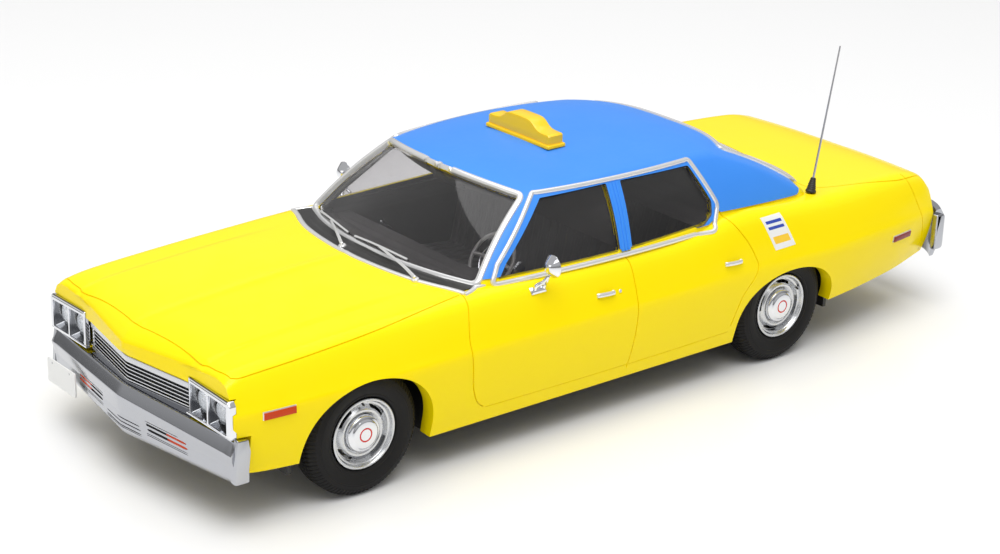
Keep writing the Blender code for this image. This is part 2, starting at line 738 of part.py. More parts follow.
def make_lamps():
    for hand, tag in ((-1, "left"), (1, "right")):
        low, high = 29.2, 49.3
        outline = [
            (hand * low, 31.2), (hand * 50.7, 30.6), (hand * 50.7, 40.6), (hand * 49.6, 41.9),
            (hand * low, 42.4),
        ]
        frame = prism("headlamp_bezel_" + tag, outline, "X", -150.6, -148.6, "chrome")
        backing = [(hand * low, 31.6), (hand * high, 31.6), (hand * high, 42.0), (hand * low, 42.0)]
        boolean(
            frame, prism("bezel_box_" + tag, backing, "X", -149.6, -145.5, "chrome", helper=True),
            "UNION",
        )
        for k, (a, b) in enumerate(((low + 1.0, 38.8), (39.6, high - 1.0))):
            cell = [(hand * a, 31.6), (hand * b, 31.4), (hand * b, 40.6), (hand * a, 41.0)]
            pocket = prism(f"lamp_pocket_{tag}_{k}", cell, "X", -152, LAMP_BACK_X, helper=True)
            boolean(frame, pocket, "DIFFERENCE")
            centre = (a + b) / 2
            lens = circle(hand * centre, LAMP_Z, LAMP_RADIUS, 20)
            name = f"headlamp_{('inner', 'outer')[k]}_{tag}"
            prism(name, lens, "X", LAMP_FACE_X, LAMP_BACK_X - GAP, "clear_glass")
        side_marker("front_side_marker_" + tag, hand, -140.6, -130.4, 35.0, 37.1, "amber_lens")
        side_marker("rear_side_marker_" + tag, hand, 120.8, 130.8, 31.6, 33.6, "red_lens")
        low, high = sorted((hand * 14, hand * 42))
        swept_bar("tail_lamp_" + tag, tail_lamp_section, spread(low, high, 8), "red_lens")


def tail_x(y):
    return TAIL_X + nose_sweep(TAIL_X, y)


def tail_lamp_section(y):
    x = tail_x(y)
    return [(x + GAP, 38.6), (x + 1.6, 39.0), (x + 1.6, 43.6), (x + GAP, 44.0)]


def side_marker(name, hand, x_low, x_high, z_low, z_high, material):
    """A thin lens standing just proud of the flank."""
    maker = bmesh.new()
    skins = []
    for out in (GAP, 0.9):
        ring = []
        for x, z in ((x_low, z_low), (x_high, z_low), (x_high, z_high), (x_low, z_high)):
            ring.append(maker.verts.new((x, hand * (waist_y(x) + out), z)))
        skins.append(ring)
    maker.faces.new(skins[0])
    maker.faces.new(skins[1][::-1])
    for i in range(4):
        j = (i + 1) % 4
        maker.faces.new((skins[0][i], skins[0][j], skins[1][j], skins[1][i]))
    finish(name, maker, material)


# ---- cabin ----------------------------------------------------------------------------------
FLOOR_Z = 16.2


def make_cabin():
    tub = block("interior_tub", (-58, -45.5, FLOOR_Z), (84, 45.5, 49), "interior_grey")
    hollow = block("tub_hollow", (-56.4, -43.7, FLOOR_Z + 1.6), (60, 43.7, 55), helper=True)
    boolean(tub, hollow, "DIFFERENCE")
    shelf = block("tub_under_shelf", (61.6, -60, 5), (90, 60, 45.5), helper=True)
    boolean(tub, shelf, "DIFFERENCE")
    for side in (-1, 1):
        low, high = sorted((side * 32.6, side * 60))
        well = block(f"tub_well_{side}", (41.8, low, 5), (90, high, 42.6), helper=True)
        boolean(tub, well, "DIFFERENCE")
    front = [
        (-24, 18.1), (-26, 24), (-25, 31), (-21, 33), (-4, 31.5), (1, 56), (3, 58), (6, 57.4), (7, 54),
        (3, 30), (1, 18.1),
    ]
    bevelled(prism("front_seat", front, "Y", -40, 40, "interior_grey"), 0.8)
    rear = [
        (20, 18.1), (18, 24), (19, 32), (23, 34), (41, 32), (48, 54), (51, 55.6), (56, 54), (56, 50.4),
        (50, 30), (48, 18.1),
    ]
    seat = prism("rear_seat", rear, "Y", -41, 41, "interior_grey")
    for side in (-1, 1):
        low, high = sorted((side * 32.3, side * 60))
        notch = block(f"seat_notch_{side}", (41.6, low, 5), (90, high, 42.9), helper=True)
        boolean(seat, notch, "DIFFERENCE")
    dash = [
        (-56, 30), (-56, 49.4), (-52, 49.9), (-44, 49.4), (-42, 47.6), (-43.4, 41), (-47, 38), (-48, 30),
    ]
    bevelled(prism("dashboard", dash, "Y", -43, 43, "interior_grey"), 0.6)
    wheel = steering_wheel()
    wheel.location = Vector((-34.0, -20.0, 48.6)) * MM
    wheel.rotation_euler = (0, math.radians(-58), 0)
    mirror = block("rear_view_mirror", (-36.4, -8.0, 68.4), (-34.6, 8.0, 72.4), "black_plastic")
    stem = rod("mirror_stem", [(-35.6, 0, 71.0), (-36.6, 0, 75.0)], 0.7, "black_plastic", helper=True)
    boolean(mirror, stem, "UNION")


def steering_wheel():
    """A thin rim on two spokes and a column, drawn about Z before it is tilted."""
    maker = bmesh.new()
    sides, turns = 8, 28
    radius, thick = 9.0, 0.75
    rows = []
    for i in range(turns):
        angle = math.tau * i / turns
        out = Vector((math.cos(angle), math.sin(angle), 0))
        row = []
        for k in range(sides):
            around = math.tau * k / sides
            place = out * (radius + thick * math.cos(around))
            place.z = thick * math.sin(around)
            row.append(maker.verts.new(place))
        rows.append(row)
    for i in range(turns):
        near, far = rows[i], rows[(i + 1) % turns]
        for k in range(sides):
            maker.faces.new((near[k], near[(k + 1) % sides], far[(k + 1) % sides], far[k]))
    wheel = finish("steering_wheel", maker, "black_plastic")
    spoke = block("wheel_spokes", (-1.4, -radius, -0.9), (1.4, radius, 0.3), helper=True)
    column = prism("wheel_column", circle(0, 0, 1.9, 12), "Z", -10.5, 0.9, helper=True)
    for extra in (spoke, column):
        boolean(wheel, extra, "UNION")
        extra.parent = wheel
    return wheel


# ---- what is fixed to the outside ---------------------------------------------------------------
def flank_y(x, z):
    """Half width of the lower body's side between its waist and its shoulder, plus a little."""
    share = (z - waist_z(x)) / (shoulder_z(x) - waist_z(x))
    return waist_y(x) + (shoulder_y(x) - waist_y(x)) * share + 0.25


def make_door_mirrors():
    for hand, tag in ((-1, "left"), (1, "right")):
        skin = flank_y(-40, 49.0) + GAP
        head = prism(
            "door_mirror_" + tag, circle(hand * (skin + 2.6), 58.4, 3.6, 18), "X", -40.6, -37.6, "chrome",
        )
        path = [
            (-39.2, hand * (skin + 2.4), 56.6), (-39.8, hand * (skin + 1.6), 52.6),
            (-40.4, hand * (skin + 0.9), 49.6),
        ]
        stem = rod(f"mirror_arm_{tag}", path, 0.8, "chrome", helper=True)
        boolean(head, stem, "UNION")
        low, high = sorted((hand * skin, hand * (skin + 1.6)))
        foot = block(f"mirror_foot_{tag}", (-43.4, low, 49.0), (-37.4, high, 51.0), helper=True)
        boolean(head, foot, "UNION")


WIPER_LEVEL = 0.05
WIPER_LIFT = 1.6


def make_wipers():
    """Two blades lying along the foot of the windscreen, each with a hub at its pivot."""
    lean = front_edge(0, 1) - front_edge(0, 0)
    outward = Vector((-lean.z, 0, lean.x)).normalized()
    if outward.z < 0:
        outward.negate()
    for pivot, tip, tag in ((-29.6, 7.0, "left"), (9.0, 34.0, "right")):
        path = []
        for y in spread(pivot, tip, 9):
            side = abs(y) / (43.8 - 9.6 * WIPER_LEVEL)
            p = front_edge(side, WIPER_LEVEL) + outward * WIPER_LIFT
            path.append((p.x, y, p.z))
        wiper = rod("wiper_" + tag, path, 0.6, "steel", sides=6)
        base = Vector(path[0])
        hub = prism(
            f"wiper_hub_{tag}", circle(base.x, base.y, 1.0, 12), "Z", base.z - 0.2, base.z + 1.1,
            helper=True,
        )
        boolean(wiper, hub, "UNION")


SIGN_X = (-8.4, -1.6)
SIGN_HALF = 15.4


def make_roof_sign():
    """A moulded lamp: a flat foot, and a tower with a humped top that is taller in the middle."""
    front, rear = SIGN_X
    floor = spine_z(-4) + GAP
    base = block(
        "roof_sign", (front - 0.4, -SIGN_HALF - 0.5, floor), (rear + 0.4, SIGN_HALF + 0.5, floor + 1.1),
        "sign_yellow",
    )
    outline = []
    for y in spread(-SIGN_HALF, SIGN_HALF, 21):
        hump = 1 / (1 + math.exp((abs(y) - 7.6) / 1.1))
        outline.append((y, floor + 4.3 + 3.1 * hump))
    outline += [(SIGN_HALF, floor + 0.6), (-SIGN_HALF, floor + 0.6)]
    tower = prism("sign_tower", outline, "X", front + 0.3, rear - 0.3, helper=True)
    boolean(base, tower, "UNION")
    return base


def make_antenna():
    """A small rubber cone on the left rear deck with a thin whip that leans back."""
    foot = Vector((87.2, -41.3, 53.9 + GAP))
    lean = Vector((9.2, 0, 52.2)).normalized()
    base = rod(
        "antenna_base", [foot, foot + lean * 1.0, foot + lean * 4.8], [1.8, 1.7, 1.2], "black_plastic",
        sides=16,
    )
    hole = rod(
        "antenna_hole", [foot + lean * 1.6, foot + lean * 8], 0.75, "black_plastic", sides=12,
        helper=True,
    )
    boolean(base, hole, "DIFFERENCE")
    rod("antenna_whip", [foot + lean * 2.0, foot + lean * 50.0], [0.42, 0.3], "steel", sides=8)


def make_plates():
    block("front_number_plate", (-154.2, 30.5, 14.6), (-153.5, 47.5, 22.6), "white_plate")
    block("rear_number_plate", (148.0, -9.0, 38.2), (148.8, 9.0, 45.4), "white_plate")


def main():
    clear_scene()
    make_body_shell()
    make_glass()
    make_base_plate()
    make_running_gear()
    make_wheels()
    make_front_bumper()
    make_rear_bumper()
    make_grille()
    make_lamps()
    make_cabin()
    make_door_mirrors()
    make_wipers()
    make_roof_sign()
    make_antenna()
    make_plates()


main()
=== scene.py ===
import math

import bmesh
import bpy
import numpy as np
from mathutils import Matrix, Vector
from mathutils.bvhtree import BVHTree


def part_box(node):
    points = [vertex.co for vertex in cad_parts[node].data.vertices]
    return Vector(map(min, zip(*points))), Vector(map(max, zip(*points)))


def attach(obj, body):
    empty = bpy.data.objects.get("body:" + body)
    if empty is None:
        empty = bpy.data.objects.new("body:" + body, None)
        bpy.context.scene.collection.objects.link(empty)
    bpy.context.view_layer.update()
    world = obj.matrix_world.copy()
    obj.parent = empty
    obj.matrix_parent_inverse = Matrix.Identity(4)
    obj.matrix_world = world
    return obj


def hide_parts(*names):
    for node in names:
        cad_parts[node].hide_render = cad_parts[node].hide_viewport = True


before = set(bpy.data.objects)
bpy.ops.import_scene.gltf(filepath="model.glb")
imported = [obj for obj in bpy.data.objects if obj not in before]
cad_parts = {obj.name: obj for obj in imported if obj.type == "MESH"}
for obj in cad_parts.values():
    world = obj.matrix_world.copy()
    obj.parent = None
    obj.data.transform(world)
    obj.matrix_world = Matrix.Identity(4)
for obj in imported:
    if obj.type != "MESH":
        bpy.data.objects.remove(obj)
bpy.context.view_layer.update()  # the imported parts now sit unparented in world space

mm = 0.001  # every length below is millimetres, and meshes are scaled by this when they are made
scene = bpy.context.scene
helpers = bpy.data.collections.new("helpers")  # cutters live here until their cut is applied
scene.collection.children.link(helpers)


hands = ((-1, "Left"), (1, "Right"))


# small maths
def spread(low, high, count):
    return [low + (high - low) * i / (count - 1) for i in range(count)]


def smooth(t):
    t = min(max(t, 0.0), 1.0)
    return t * t * (3 - 2 * t)


def lerp(a, b, t):
    return a + (b - a) * t


def curveThrough(knots):
    # a smooth function of x that passes through (x, value) knots and never overshoots
    xs = [k[0] for k in knots]
    ys = [k[1] for k in knots]
    steps = [xs[i + 1] - xs[i] for i in range(len(xs) - 1)]
    rises = [(ys[i + 1] - ys[i]) / steps[i] for i in range(len(steps))]
    slopes = [rises[0]]
    for before, after in zip(rises, rises[1:]):
        slopes.append(0.0 if before * after <= 0 else 2 * before * after / (before + after))
    slopes.append(rises[-1])

    def value(x):
        x = min(max(x, xs[0]), xs[-1])
        i = max(k for k in range(len(steps)) if xs[k] <= x or k == 0)
        t = (x - xs[i]) / steps[i]
        a = (1 + 2 * t) * (1 - t) ** 2 * ys[i] + t * t * (3 - 2 * t) * ys[i + 1]
        b = t * (1 - t) ** 2 * slopes[i] - t * t * (1 - t) * slopes[i + 1]
        return a + steps[i] * b

    return value


def catmull(points, per=6, closed=False):
    # a smooth run of points through the given ones
    pts = [Vector(p) for p in points]
    n = len(pts)
    found = []
    last = n if closed else n - 1
    for i in range(last):
        if closed:
            a, b, c, d = (pts[(i + k) % n] for k in (-1, 0, 1, 2))
        else:
            b, c = pts[i], pts[i + 1]
            a = pts[i - 1] if i > 0 else b * 2 - c
            d = pts[i + 2] if i + 2 < n else c * 2 - b
        for k in range(per):
            t = k / per
            curve = (a * 2 - b * 5 + c * 4 - d) * t * t + (b * 3 - a - c * 3 + d) * t ** 3
            found.append(0.5 * (b * 2 + (c - a) * t + curve))
    if not closed:
        found.append(pts[-1].copy())
    return found


def rounded(outline, radius, steps=5):
    # a closed flat outline with each corner turned into an arc of about this radius
    pts = [Vector(p) for p in outline]
    n = len(pts)
    found = []
    for i in range(n):
        size = radius[i] if isinstance(radius, (list, tuple)) else radius
        before, here, after = pts[i - 1], pts[i], pts[(i + 1) % n]
        one, two = (before - here), (after - here)
        half = one.angle(two) / 2
        reach = min(size / max(math.tan(half), 0.05), one.length * 0.48, two.length * 0.48)
        start, end = here + one.normalized() * reach, here + two.normalized() * reach
        for k in range(steps + 1):
            t = k / steps
            found.append(start.lerp(here, t).lerp(here.lerp(end, t), t))
    return found


def rectangle(a0, b0, a1, b1):
    return [(a0, b0), (a1, b0), (a1, b1), (a0, b1)]


def shifted(outline, amount):
    # the outline moved in by an amount on every edge, or out if it is negative
    pts = [Vector(p) for p in outline]
    area = sum(a.x * b.y - b.x * a.y for a, b in zip(pts, pts[1:] + pts[:1]))
    hand = 1 if area > 0 else -1
    moved = []
    for i in range(len(pts)):
        before, here, after = pts[i - 1], pts[i], pts[(i + 1) % len(pts)]
        one, two = (here - before).normalized(), (after - here).normalized()
        inOne, inTwo = Vector((-one.y, one.x)) * hand, Vector((-two.y, two.x)) * hand
        inward = (inOne + inTwo).normalized()
        moved.append(here + inward * amount / max(inward.dot(inOne), 0.35))
    return moved


# mesh tools
def newMesh(name, verts, faces, material=None, sharp=35.0, tidy=True):
    # an object from points in millimetres, its finish given by name; faces are turned to point out
    maker = bmesh.new()
    made = [maker.verts.new((p[0] * mm, p[1] * mm, p[2] * mm)) for p in verts]
    for face in faces:
        corners = [made[i] for i in face]
        if len(set(corners)) > 2:
            try:
                maker.faces.new(corners)
            except ValueError:
                pass
    if tidy:
        bmesh.ops.remove_doubles(maker, verts=maker.verts, dist=1e-7)
        bmesh.ops.recalc_face_normals(maker, faces=maker.faces)
    mesh = bpy.data.meshes.new(name)
    maker.to_mesh(mesh)
    maker.free()
    mesh.shade_smooth()
    mesh.set_sharp_from_angle(angle=math.radians(sharp))
    obj = bpy.data.objects.new(name, mesh)
    scene.collection.objects.link(obj)
    if material:
        mesh.materials.append(paints[material])
    return obj


def piece(obj, body="car_body", slot=None, replaces=()):
    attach(obj, body)
    if replaces:
        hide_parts(*([replaces] if isinstance(replaces, str) else replaces))
    return obj


def ringFaces(rows, count, closed=True, capped=True):
    # quads between rows of the same point count; fans close the first and last row
    faces = []
    for r in range(rows - 1):
        for i in range(count if closed else count - 1):
            j = (i + 1) % count
            faces.append((r * count + i, r * count + j, (r + 1) * count + j, (r + 1) * count + i))
    if capped:
        faces.append(tuple(range(count))[::-1])
        faces.append(tuple((rows - 1) * count + i for i in range(count)))
    return faces


def loft(name, rings, material=None, looped=False, **options):
    count = len(rings[0])
    verts = [p for ring in rings for p in ring]
    faces = ringFaces(len(rings), count, True, not looped)
    if looped:
        last = (len(rings) - 1) * count
        faces += [(last + i, last + (i + 1) % count, (i + 1) % count, i) for i in range(count)]
    return newMesh(name, verts, faces, material, **options)


def prism(name, outline, axis, low, high, material=None, **options):
    # a flat outline pushed along an axis; its two numbers are the other two axes
    def place(a, b, c):
        return {"X": (c, a, b), "Y": (a, c, b), "Z": (a, b, c)}[axis]

    rings = [[place(p[0], p[1], c) for p in outline] for c in (low, high)]
    return loft(name, rings, material, **options)


def slab(name, rows, thickness, material=None, **options):
    # a sheet of rows of (point, normal), given a thickness behind its face
    columns = len(rows[0])
    verts = [p for row in rows for p, n in row]
    verts += [p - n * thickness for row in rows for p, n in row]
    back = len(rows) * columns
    faces = []
    for r in range(len(rows) - 1):
        for c in range(columns - 1):
            a = r * columns + c
            quad = (a, a + 1, a + columns + 1, a + columns)
            faces.append(quad)
            faces.append(tuple(back + i for i in quad[::-1]))
    edge = [c for c in range(columns)] + [r * columns + columns - 1 for r in range(1, len(rows))]
    edge += [(len(rows) - 1) * columns + c for c in range(columns - 2, -1, -1)]
    edge += [r * columns for r in range(len(rows) - 2, 0, -1)]
    for i, a in enumerate(edge):
        b = edge[(i + 1) % len(edge)]
        faces.append((b, a, back + a, back + b))
    return newMesh(name, verts, faces, material, **options)


def sweep(name, path, normals, profile, material=None, closed=False, grow=None, **options):
    # a closed (side, height) profile carried along a path that lies on a surface with these normals
    pts = [Vector(p) for p in path]
    n = len(pts)
    rings = []
    for i, p in enumerate(pts):
        ahead = pts[(i + 1) % n] if closed or i + 1 < n else p
        behind = pts[i - 1] if closed or i > 0 else p
        up = Vector(normals[i]).normalized()
        along = (ahead - behind).normalized()
        side = along.cross(up).normalized()
        size = grow(i / (n - 1)) if grow else 1.0
        rings.append([p + side * a * size + up * b * size for a, b in profile])
    return loft(name, rings, material, looped=closed, **options)


def sweepOn(name, found, profile, material=None, **options):
    # a sweep along a run of (point, normal) pairs
    return sweep(name, [p for p, n in found], [n for p, n in found], profile, material, **options)


def repaint(obj, *names):
    # only these finishes, in this order
    obj.data.materials.clear()
    for name in names:
        obj.data.materials.append(paints[name])


def finishEdges(obj, name, angle):
    repaint(obj, name)
    obj.data.set_sharp_from_angle(angle=math.radians(angle))


def tube(name, path, radius, material=None, sides=12, closed=False, **options):
    pts = [Vector(p) for p in path]
    n = len(pts)
    rings = []
    up = None
    for i, p in enumerate(pts):
        ahead = pts[(i + 1) % n] if closed or i + 1 < n else p
        behind = pts[i - 1] if closed or i > 0 else p
        along = (ahead - behind).normalized()
        if up is None:
            up = along.orthogonal().normalized()
        up = (up - along * up.dot(along)).normalized()
        side = along.cross(up)
        size = radius[i] if isinstance(radius, (list, tuple)) else radius
        turns = [math.tau * k / sides for k in range(sides)]
        rings.append([p + (side * math.cos(a) + up * math.sin(a)) * size for a in turns])
    return loft(name, rings, material, looped=closed, **options)


def turnedMesh(name, profile, centre, axis, material=None, steps=64, start=None, **options):
    # a (radius, along) outline spun about an axis through centre; radius 0 ends close it
    axis = Vector(axis).normalized()
    one = Vector(start or (0, 0, 1))
    one = (one - axis * one.dot(axis)).normalized()
    two = axis.cross(one)
    centre = Vector(centre)
    rings = []
    for k in range(steps):
        angle = math.tau * k / steps
        out = one * math.cos(angle) + two * math.sin(angle)
        rings.append([centre + out * r + axis * a for r, a in profile])
    return loft(name, rings, material, looped=True, **options)


def applyAll(obj):
    bpy.context.view_layer.update()
    graph = bpy.context.evaluated_depsgraph_get()
    mesh = bpy.data.meshes.new_from_object(obj.evaluated_get(graph))
    old = obj.data
    obj.modifiers.clear()
    obj.data = mesh
    mesh.name = obj.name
    if old.users == 0:
        bpy.data.meshes.remove(old)
    return obj


def cut(target, cutters, operation="DIFFERENCE", oneByOne=False):
    # cutters are used up
    groups = [[c] for c in cutters] if oneByOne else [cutters]
    for group in groups:
        holder = bpy.data.collections.new("cutting")
        helpers.children.link(holder)
        for c in group:
            for home in list(c.users_collection):
                home.objects.unlink(c)
            holder.objects.link(c)
        change = target.modifiers.new("cut", "BOOLEAN")
        change.operation = operation
        change.solver = "EXACT"
        if len(group) == 1:
            change.object = group[0]
        else:
            change.operand_type = "COLLECTION"
            change.collection = holder
    applyAll(target)
    for c in cutters:
        bpy.data.objects.remove(c, do_unlink=True)
    return target


def joinPieces(name, parts):
    # one object from several, each part's materials kept
    for part in parts:
        applyAll(part)
    base = parts[0]
    names = []
    for part in parts:
        for material in part.data.materials:
            if material not in names:
                names.append(material)
    maker = bmesh.new()
    for part in parts:
        index = [names.index(m) for m in part.data.materials] or [0]
        start = len(maker.faces)
        maker.from_mesh(part.data)
        maker.faces.ensure_lookup_table()
        for face in maker.faces[start:]:
            face.material_index = index[min(face.material_index, len(index) - 1)]
    mesh = bpy.data.meshes.new(name)
    maker.to_mesh(mesh)
    maker.free()
    for material in names:
        mesh.materials.append(material)
    for part in parts[1:]:
        bpy.data.objects.remove(part, do_unlink=True)
    base.data = mesh
    base.name = name
    return base


class Surface:
    # a clean smooth skin that points and normals are read from
    def __init__(self, obj):
        mesh = obj.data
        mesh.calc_loop_triangles()
        self.co = [v.co.copy() for v in mesh.vertices]
        self.normals = [v.normal.copy() for v in mesh.vertices]
        self.tris = [tuple(t.vertices) for t in mesh.loop_triangles]
        self.tree = BVHTree.FromPolygons(self.co, self.tris)

    def normalAt(self, place, index):
        a, b, c = self.tris[index]
        pa, pb, pc = self.co[a], self.co[b], self.co[c]
        whole = (pb - pa).cross(pc - pa)
        area = whole.length_squared or 1e-18
        wa = (pb - place).cross(pc - place).dot(whole) / area
        wb = (pc - place).cross(pa - place).dot(whole) / area
        wc = 1 - wa - wb
        return (self.normals[a] * wa + self.normals[b] * wb + self.normals[c] * wc).normalized()

    def hit(self, start, direction):
        place, _, index, _ = self.tree.ray_cast(Vector(start) * mm, Vector(direction))
        if place is None:
            return None
        return place / mm, self.normalAt(place, index)

    def nearest(self, place):
        found, _, index, gap = self.tree.find_nearest(place)
        return self.normalAt(found, index), gap


def borrowNormals(obj, surfaces, reach=0.05, angle=28.0):
    # shading taken from clean skins wherever a face follows one, so cuts leave no marks in the gloss
    mesh = obj.data
    mesh.set_sharp_from_angle(angle=math.radians(angle))
    loops = np.zeros(len(mesh.loops) * 3, np.float32)
    mesh.corner_normals.foreach_get("vector", loops)
    normals = loops.reshape(-1, 3)
    limit = math.cos(math.radians(angle))
    clean = []
    for v in mesh.vertices:
        near = [s.nearest(v.co) for s in surfaces]
        clean.append([n for n, gap in near if gap < reach * mm])
    for poly in mesh.polygons:
        for i in poly.loop_indices:
            best, share = None, limit
            for n in clean[mesh.loops[i].vertex_index]:
                if n.dot(poly.normal) > share:
                    best, share = n, n.dot(poly.normal)
            if best is not None:
                normals[i] = best
    mesh.normals_split_custom_set([tuple(n) for n in normals])
    return obj


# shared effects, each one a node group that the finishes below place with their own values
def nodeGroup(name, inputs, outputs):
    group = bpy.data.node_groups.new(name, "ShaderNodeTree")
    for label, kind, value in inputs:
        socket = group.interface.new_socket(label, in_out="INPUT", socket_type=kind)
        socket.default_value = value
    for label, kind in outputs:
        group.interface.new_socket(label, in_out="OUTPUT", socket_type=kind)
    start, end = group.nodes.new("NodeGroupInput"), group.nodes.new("NodeGroupOutput")
    return group, start, end


def link(tree, a, out, b, into):
    tree.links.new(a.outputs[out], b.inputs[into])


def mathNode(tree, operation, a=None, b=None, clamp=False):
    node = tree.nodes.new("ShaderNodeMath")
    node.operation = operation
    node.use_clamp = clamp
    for i, value in enumerate((a, b)):
        if isinstance(value, (int, float)):
            node.inputs[i].default_value = value
        elif value is not None:
            tree.links.new(value, node.inputs[i])
    return node


def noiseNode(tree, scaleFrom, factor, detail=3.0, stretch=None):
    place = tree.nodes.new("ShaderNodeTexCoord")
    turn = tree.nodes.new("ShaderNodeMapping")
    turn.inputs["Scale"].default_value = stretch or (1, 1, 1)
    link(tree, place, "Object", turn, "Vector")
    noise = tree.nodes.new("ShaderNodeTexNoise")
    noise.inputs["Detail"].default_value = detail
    link(tree, turn, "Vector", noise, "Vector")
    times = mathNode(tree, "MULTIPLY", scaleFrom, factor)
    link(tree, times, 0, noise, "Scale")
    return noise


def mottleGroup():
    # slow changes of tone and of gloss over a surface
    inputs = [("Colour", "NodeSocketColor", (1, 1, 1, 1))]
    for label, value in (("Scale", 60.0), ("Tone", 0.04), ("Roughness", 0.3), ("Gloss Change", 0.05)):
        inputs.append((label, "NodeSocketFloat", value))
    group, start, end = nodeGroup(
        "mottle", inputs, [("Colour", "NodeSocketColor"), ("Roughness", "NodeSocketFloat")],
    )
    slow = noiseNode(group, start.outputs["Scale"], 1.0)
    centred = mathNode(group, "SUBTRACT", slow.outputs["Fac"], 0.5)
    swing = mathNode(group, "MULTIPLY", centred.outputs[0], start.outputs["Tone"])
    value = mathNode(group, "ADD", swing.outputs[0], 1.0)
    tone = group.nodes.new("ShaderNodeHueSaturation")
    link(group, value, 0, tone, "Value")
    link(group, start, "Colour", tone, "Color")
    link(group, tone, "Color", end, "Colour")
    quick = noiseNode(group, start.outputs["Scale"], 6.0, 4.0)
    centred = mathNode(group, "SUBTRACT", quick.outputs["Fac"], 0.5)
    swing = mathNode(group, "MULTIPLY", centred.outputs[0], start.outputs["Gloss Change"])
    rough = mathNode(group, "ADD", swing.outputs[0], start.outputs["Roughness"], clamp=True)
    link(group, rough, 0, end, "Roughness")
    return group


def dustGroup():
    # a thin film on what faces up, patchy like real dust
    inputs = [("Colour", "NodeSocketColor", (1, 1, 1, 1)), ("Amount", "NodeSocketFloat", 0.05)]
    group, start, end = nodeGroup(
        "dust", inputs, [("Colour", "NodeSocketColor"), ("Mask", "NodeSocketFloat")],
    )
    facing = group.nodes.new("ShaderNodeNewGeometry")
    parts = group.nodes.new("ShaderNodeSeparateXYZ")
    link(group, facing, "Normal", parts, "Vector")
    patches = noiseNode(group, 90.0, 1.0, 5.0)
    up = mathNode(group, "MULTIPLY", parts.outputs["Z"], patches.outputs["Fac"], clamp=True)
    mask = mathNode(group, "MULTIPLY", up.outputs[0], start.outputs["Amount"], clamp=True)
    mix = group.nodes.new("ShaderNodeMix")
    mix.data_type = "RGBA"
    mix.inputs["B"].default_value = (0.62, 0.6, 0.56, 1)
    link(group, mask, 0, mix, "Factor")
    group.links.new(start.outputs["Colour"], mix.inputs[6])
    group.links.new(mix.outputs[2], end.inputs["Colour"])
    link(group, mask, 0, end, "Mask")
    return group


def grainGroup():
    # pebbled height for vinyl, moulded plastic and rubber
    inputs = [("Scale", "NodeSocketFloat", 900.0), ("Pebble", "NodeSocketFloat", 0.6)]
    group, start, end = nodeGroup("grain", inputs, [("Height", "NodeSocketFloat")])
    place = group.nodes.new("ShaderNodeTexCoord")
    cells = group.nodes.new("ShaderNodeTexVoronoi")
    cells.feature = "SMOOTH_F1"
    link(group, place, "Object", cells, "Vector")
    link(group, start, "Scale", cells, "Scale")
    pebble = mathNode(group, "MULTIPLY", cells.outputs["Distance"], start.outputs["Pebble"])
    soft = noiseNode(group, start.outputs["Scale"], 0.7, 4.0)
    both = mathNode(group, "ADD", pebble.outputs[0], soft.outputs["Fac"])
    link(group, both, 0, end, "Height")
    return group


def hairlineGroup():
    # long faint lines from handling and polishing
    inputs = [("Scale", "NodeSocketFloat", 40.0), ("Depth", "NodeSocketFloat", 0.2)]
    group, start, end = nodeGroup("hairline", inputs, [("Height", "NodeSocketFloat")])
    lines = noiseNode(group, start.outputs["Scale"], 1.0, 2.0, (1, 24, 9))
    depth = mathNode(group, "MULTIPLY", lines.outputs["Fac"], start.outputs["Depth"])
    link(group, depth, 0, end, "Height")
    return group


mottle, dust, grain, hairline = mottleGroup(), dustGroup(), grainGroup(), hairlineGroup()


def finishMaterial(name, spec):
    # colour and gloss go through the shared groups; plain values sit on the shader itself
    made = bpy.data.materials.new(name)
    made.use_nodes = True
    tree = made.node_tree
    shader = tree.nodes["Principled BSDF"]
    colour = (*spec["colour"], 1)
    made.diffuse_color = colour
    tone = tree.nodes.new("ShaderNodeGroup")
    tone.node_tree = mottle
    tone.inputs["Colour"].default_value = colour
    tone.inputs["Scale"].default_value = spec.get("patches", 45.0)
    tone.inputs["Tone"].default_value = spec.get("tone", 0.04)
    tone.inputs["Roughness"].default_value = spec["rough"]
    tone.inputs["Gloss Change"].default_value = spec.get("glossChange", 0.05)
    film = tree.nodes.new("ShaderNodeGroup")
    film.node_tree = dust
    film.inputs["Amount"].default_value = spec.get("dust", 0.03)
    link(tree, tone, "Colour", film, "Colour")
    link(tree, film, "Colour", shader, "Base Color")
    link(tree, tone, "Roughness", shader, "Roughness")
    relief = tree.nodes.new("ShaderNodeGroup")
    relief.node_tree = grain if spec.get("grain") else hairline
    relief.inputs["Scale"].default_value = spec.get("grain") or spec.get("lines", 40.0)
    bump = tree.nodes.new("ShaderNodeBump")
    bump.inputs["Strength"].default_value = spec.get("bump", 0.05)
    bump.inputs["Distance"].default_value = spec.get("depth", 0.02) * mm
    link(tree, relief, "Height", bump, "Height")
    link(tree, bump, "Normal", shader, "Normal")
    shader.inputs["Metallic"].default_value = spec.get("metal", 0.0)
    for socket, value in spec.get("shader", {}).items():
        shader.inputs[socket].default_value = value
    return made


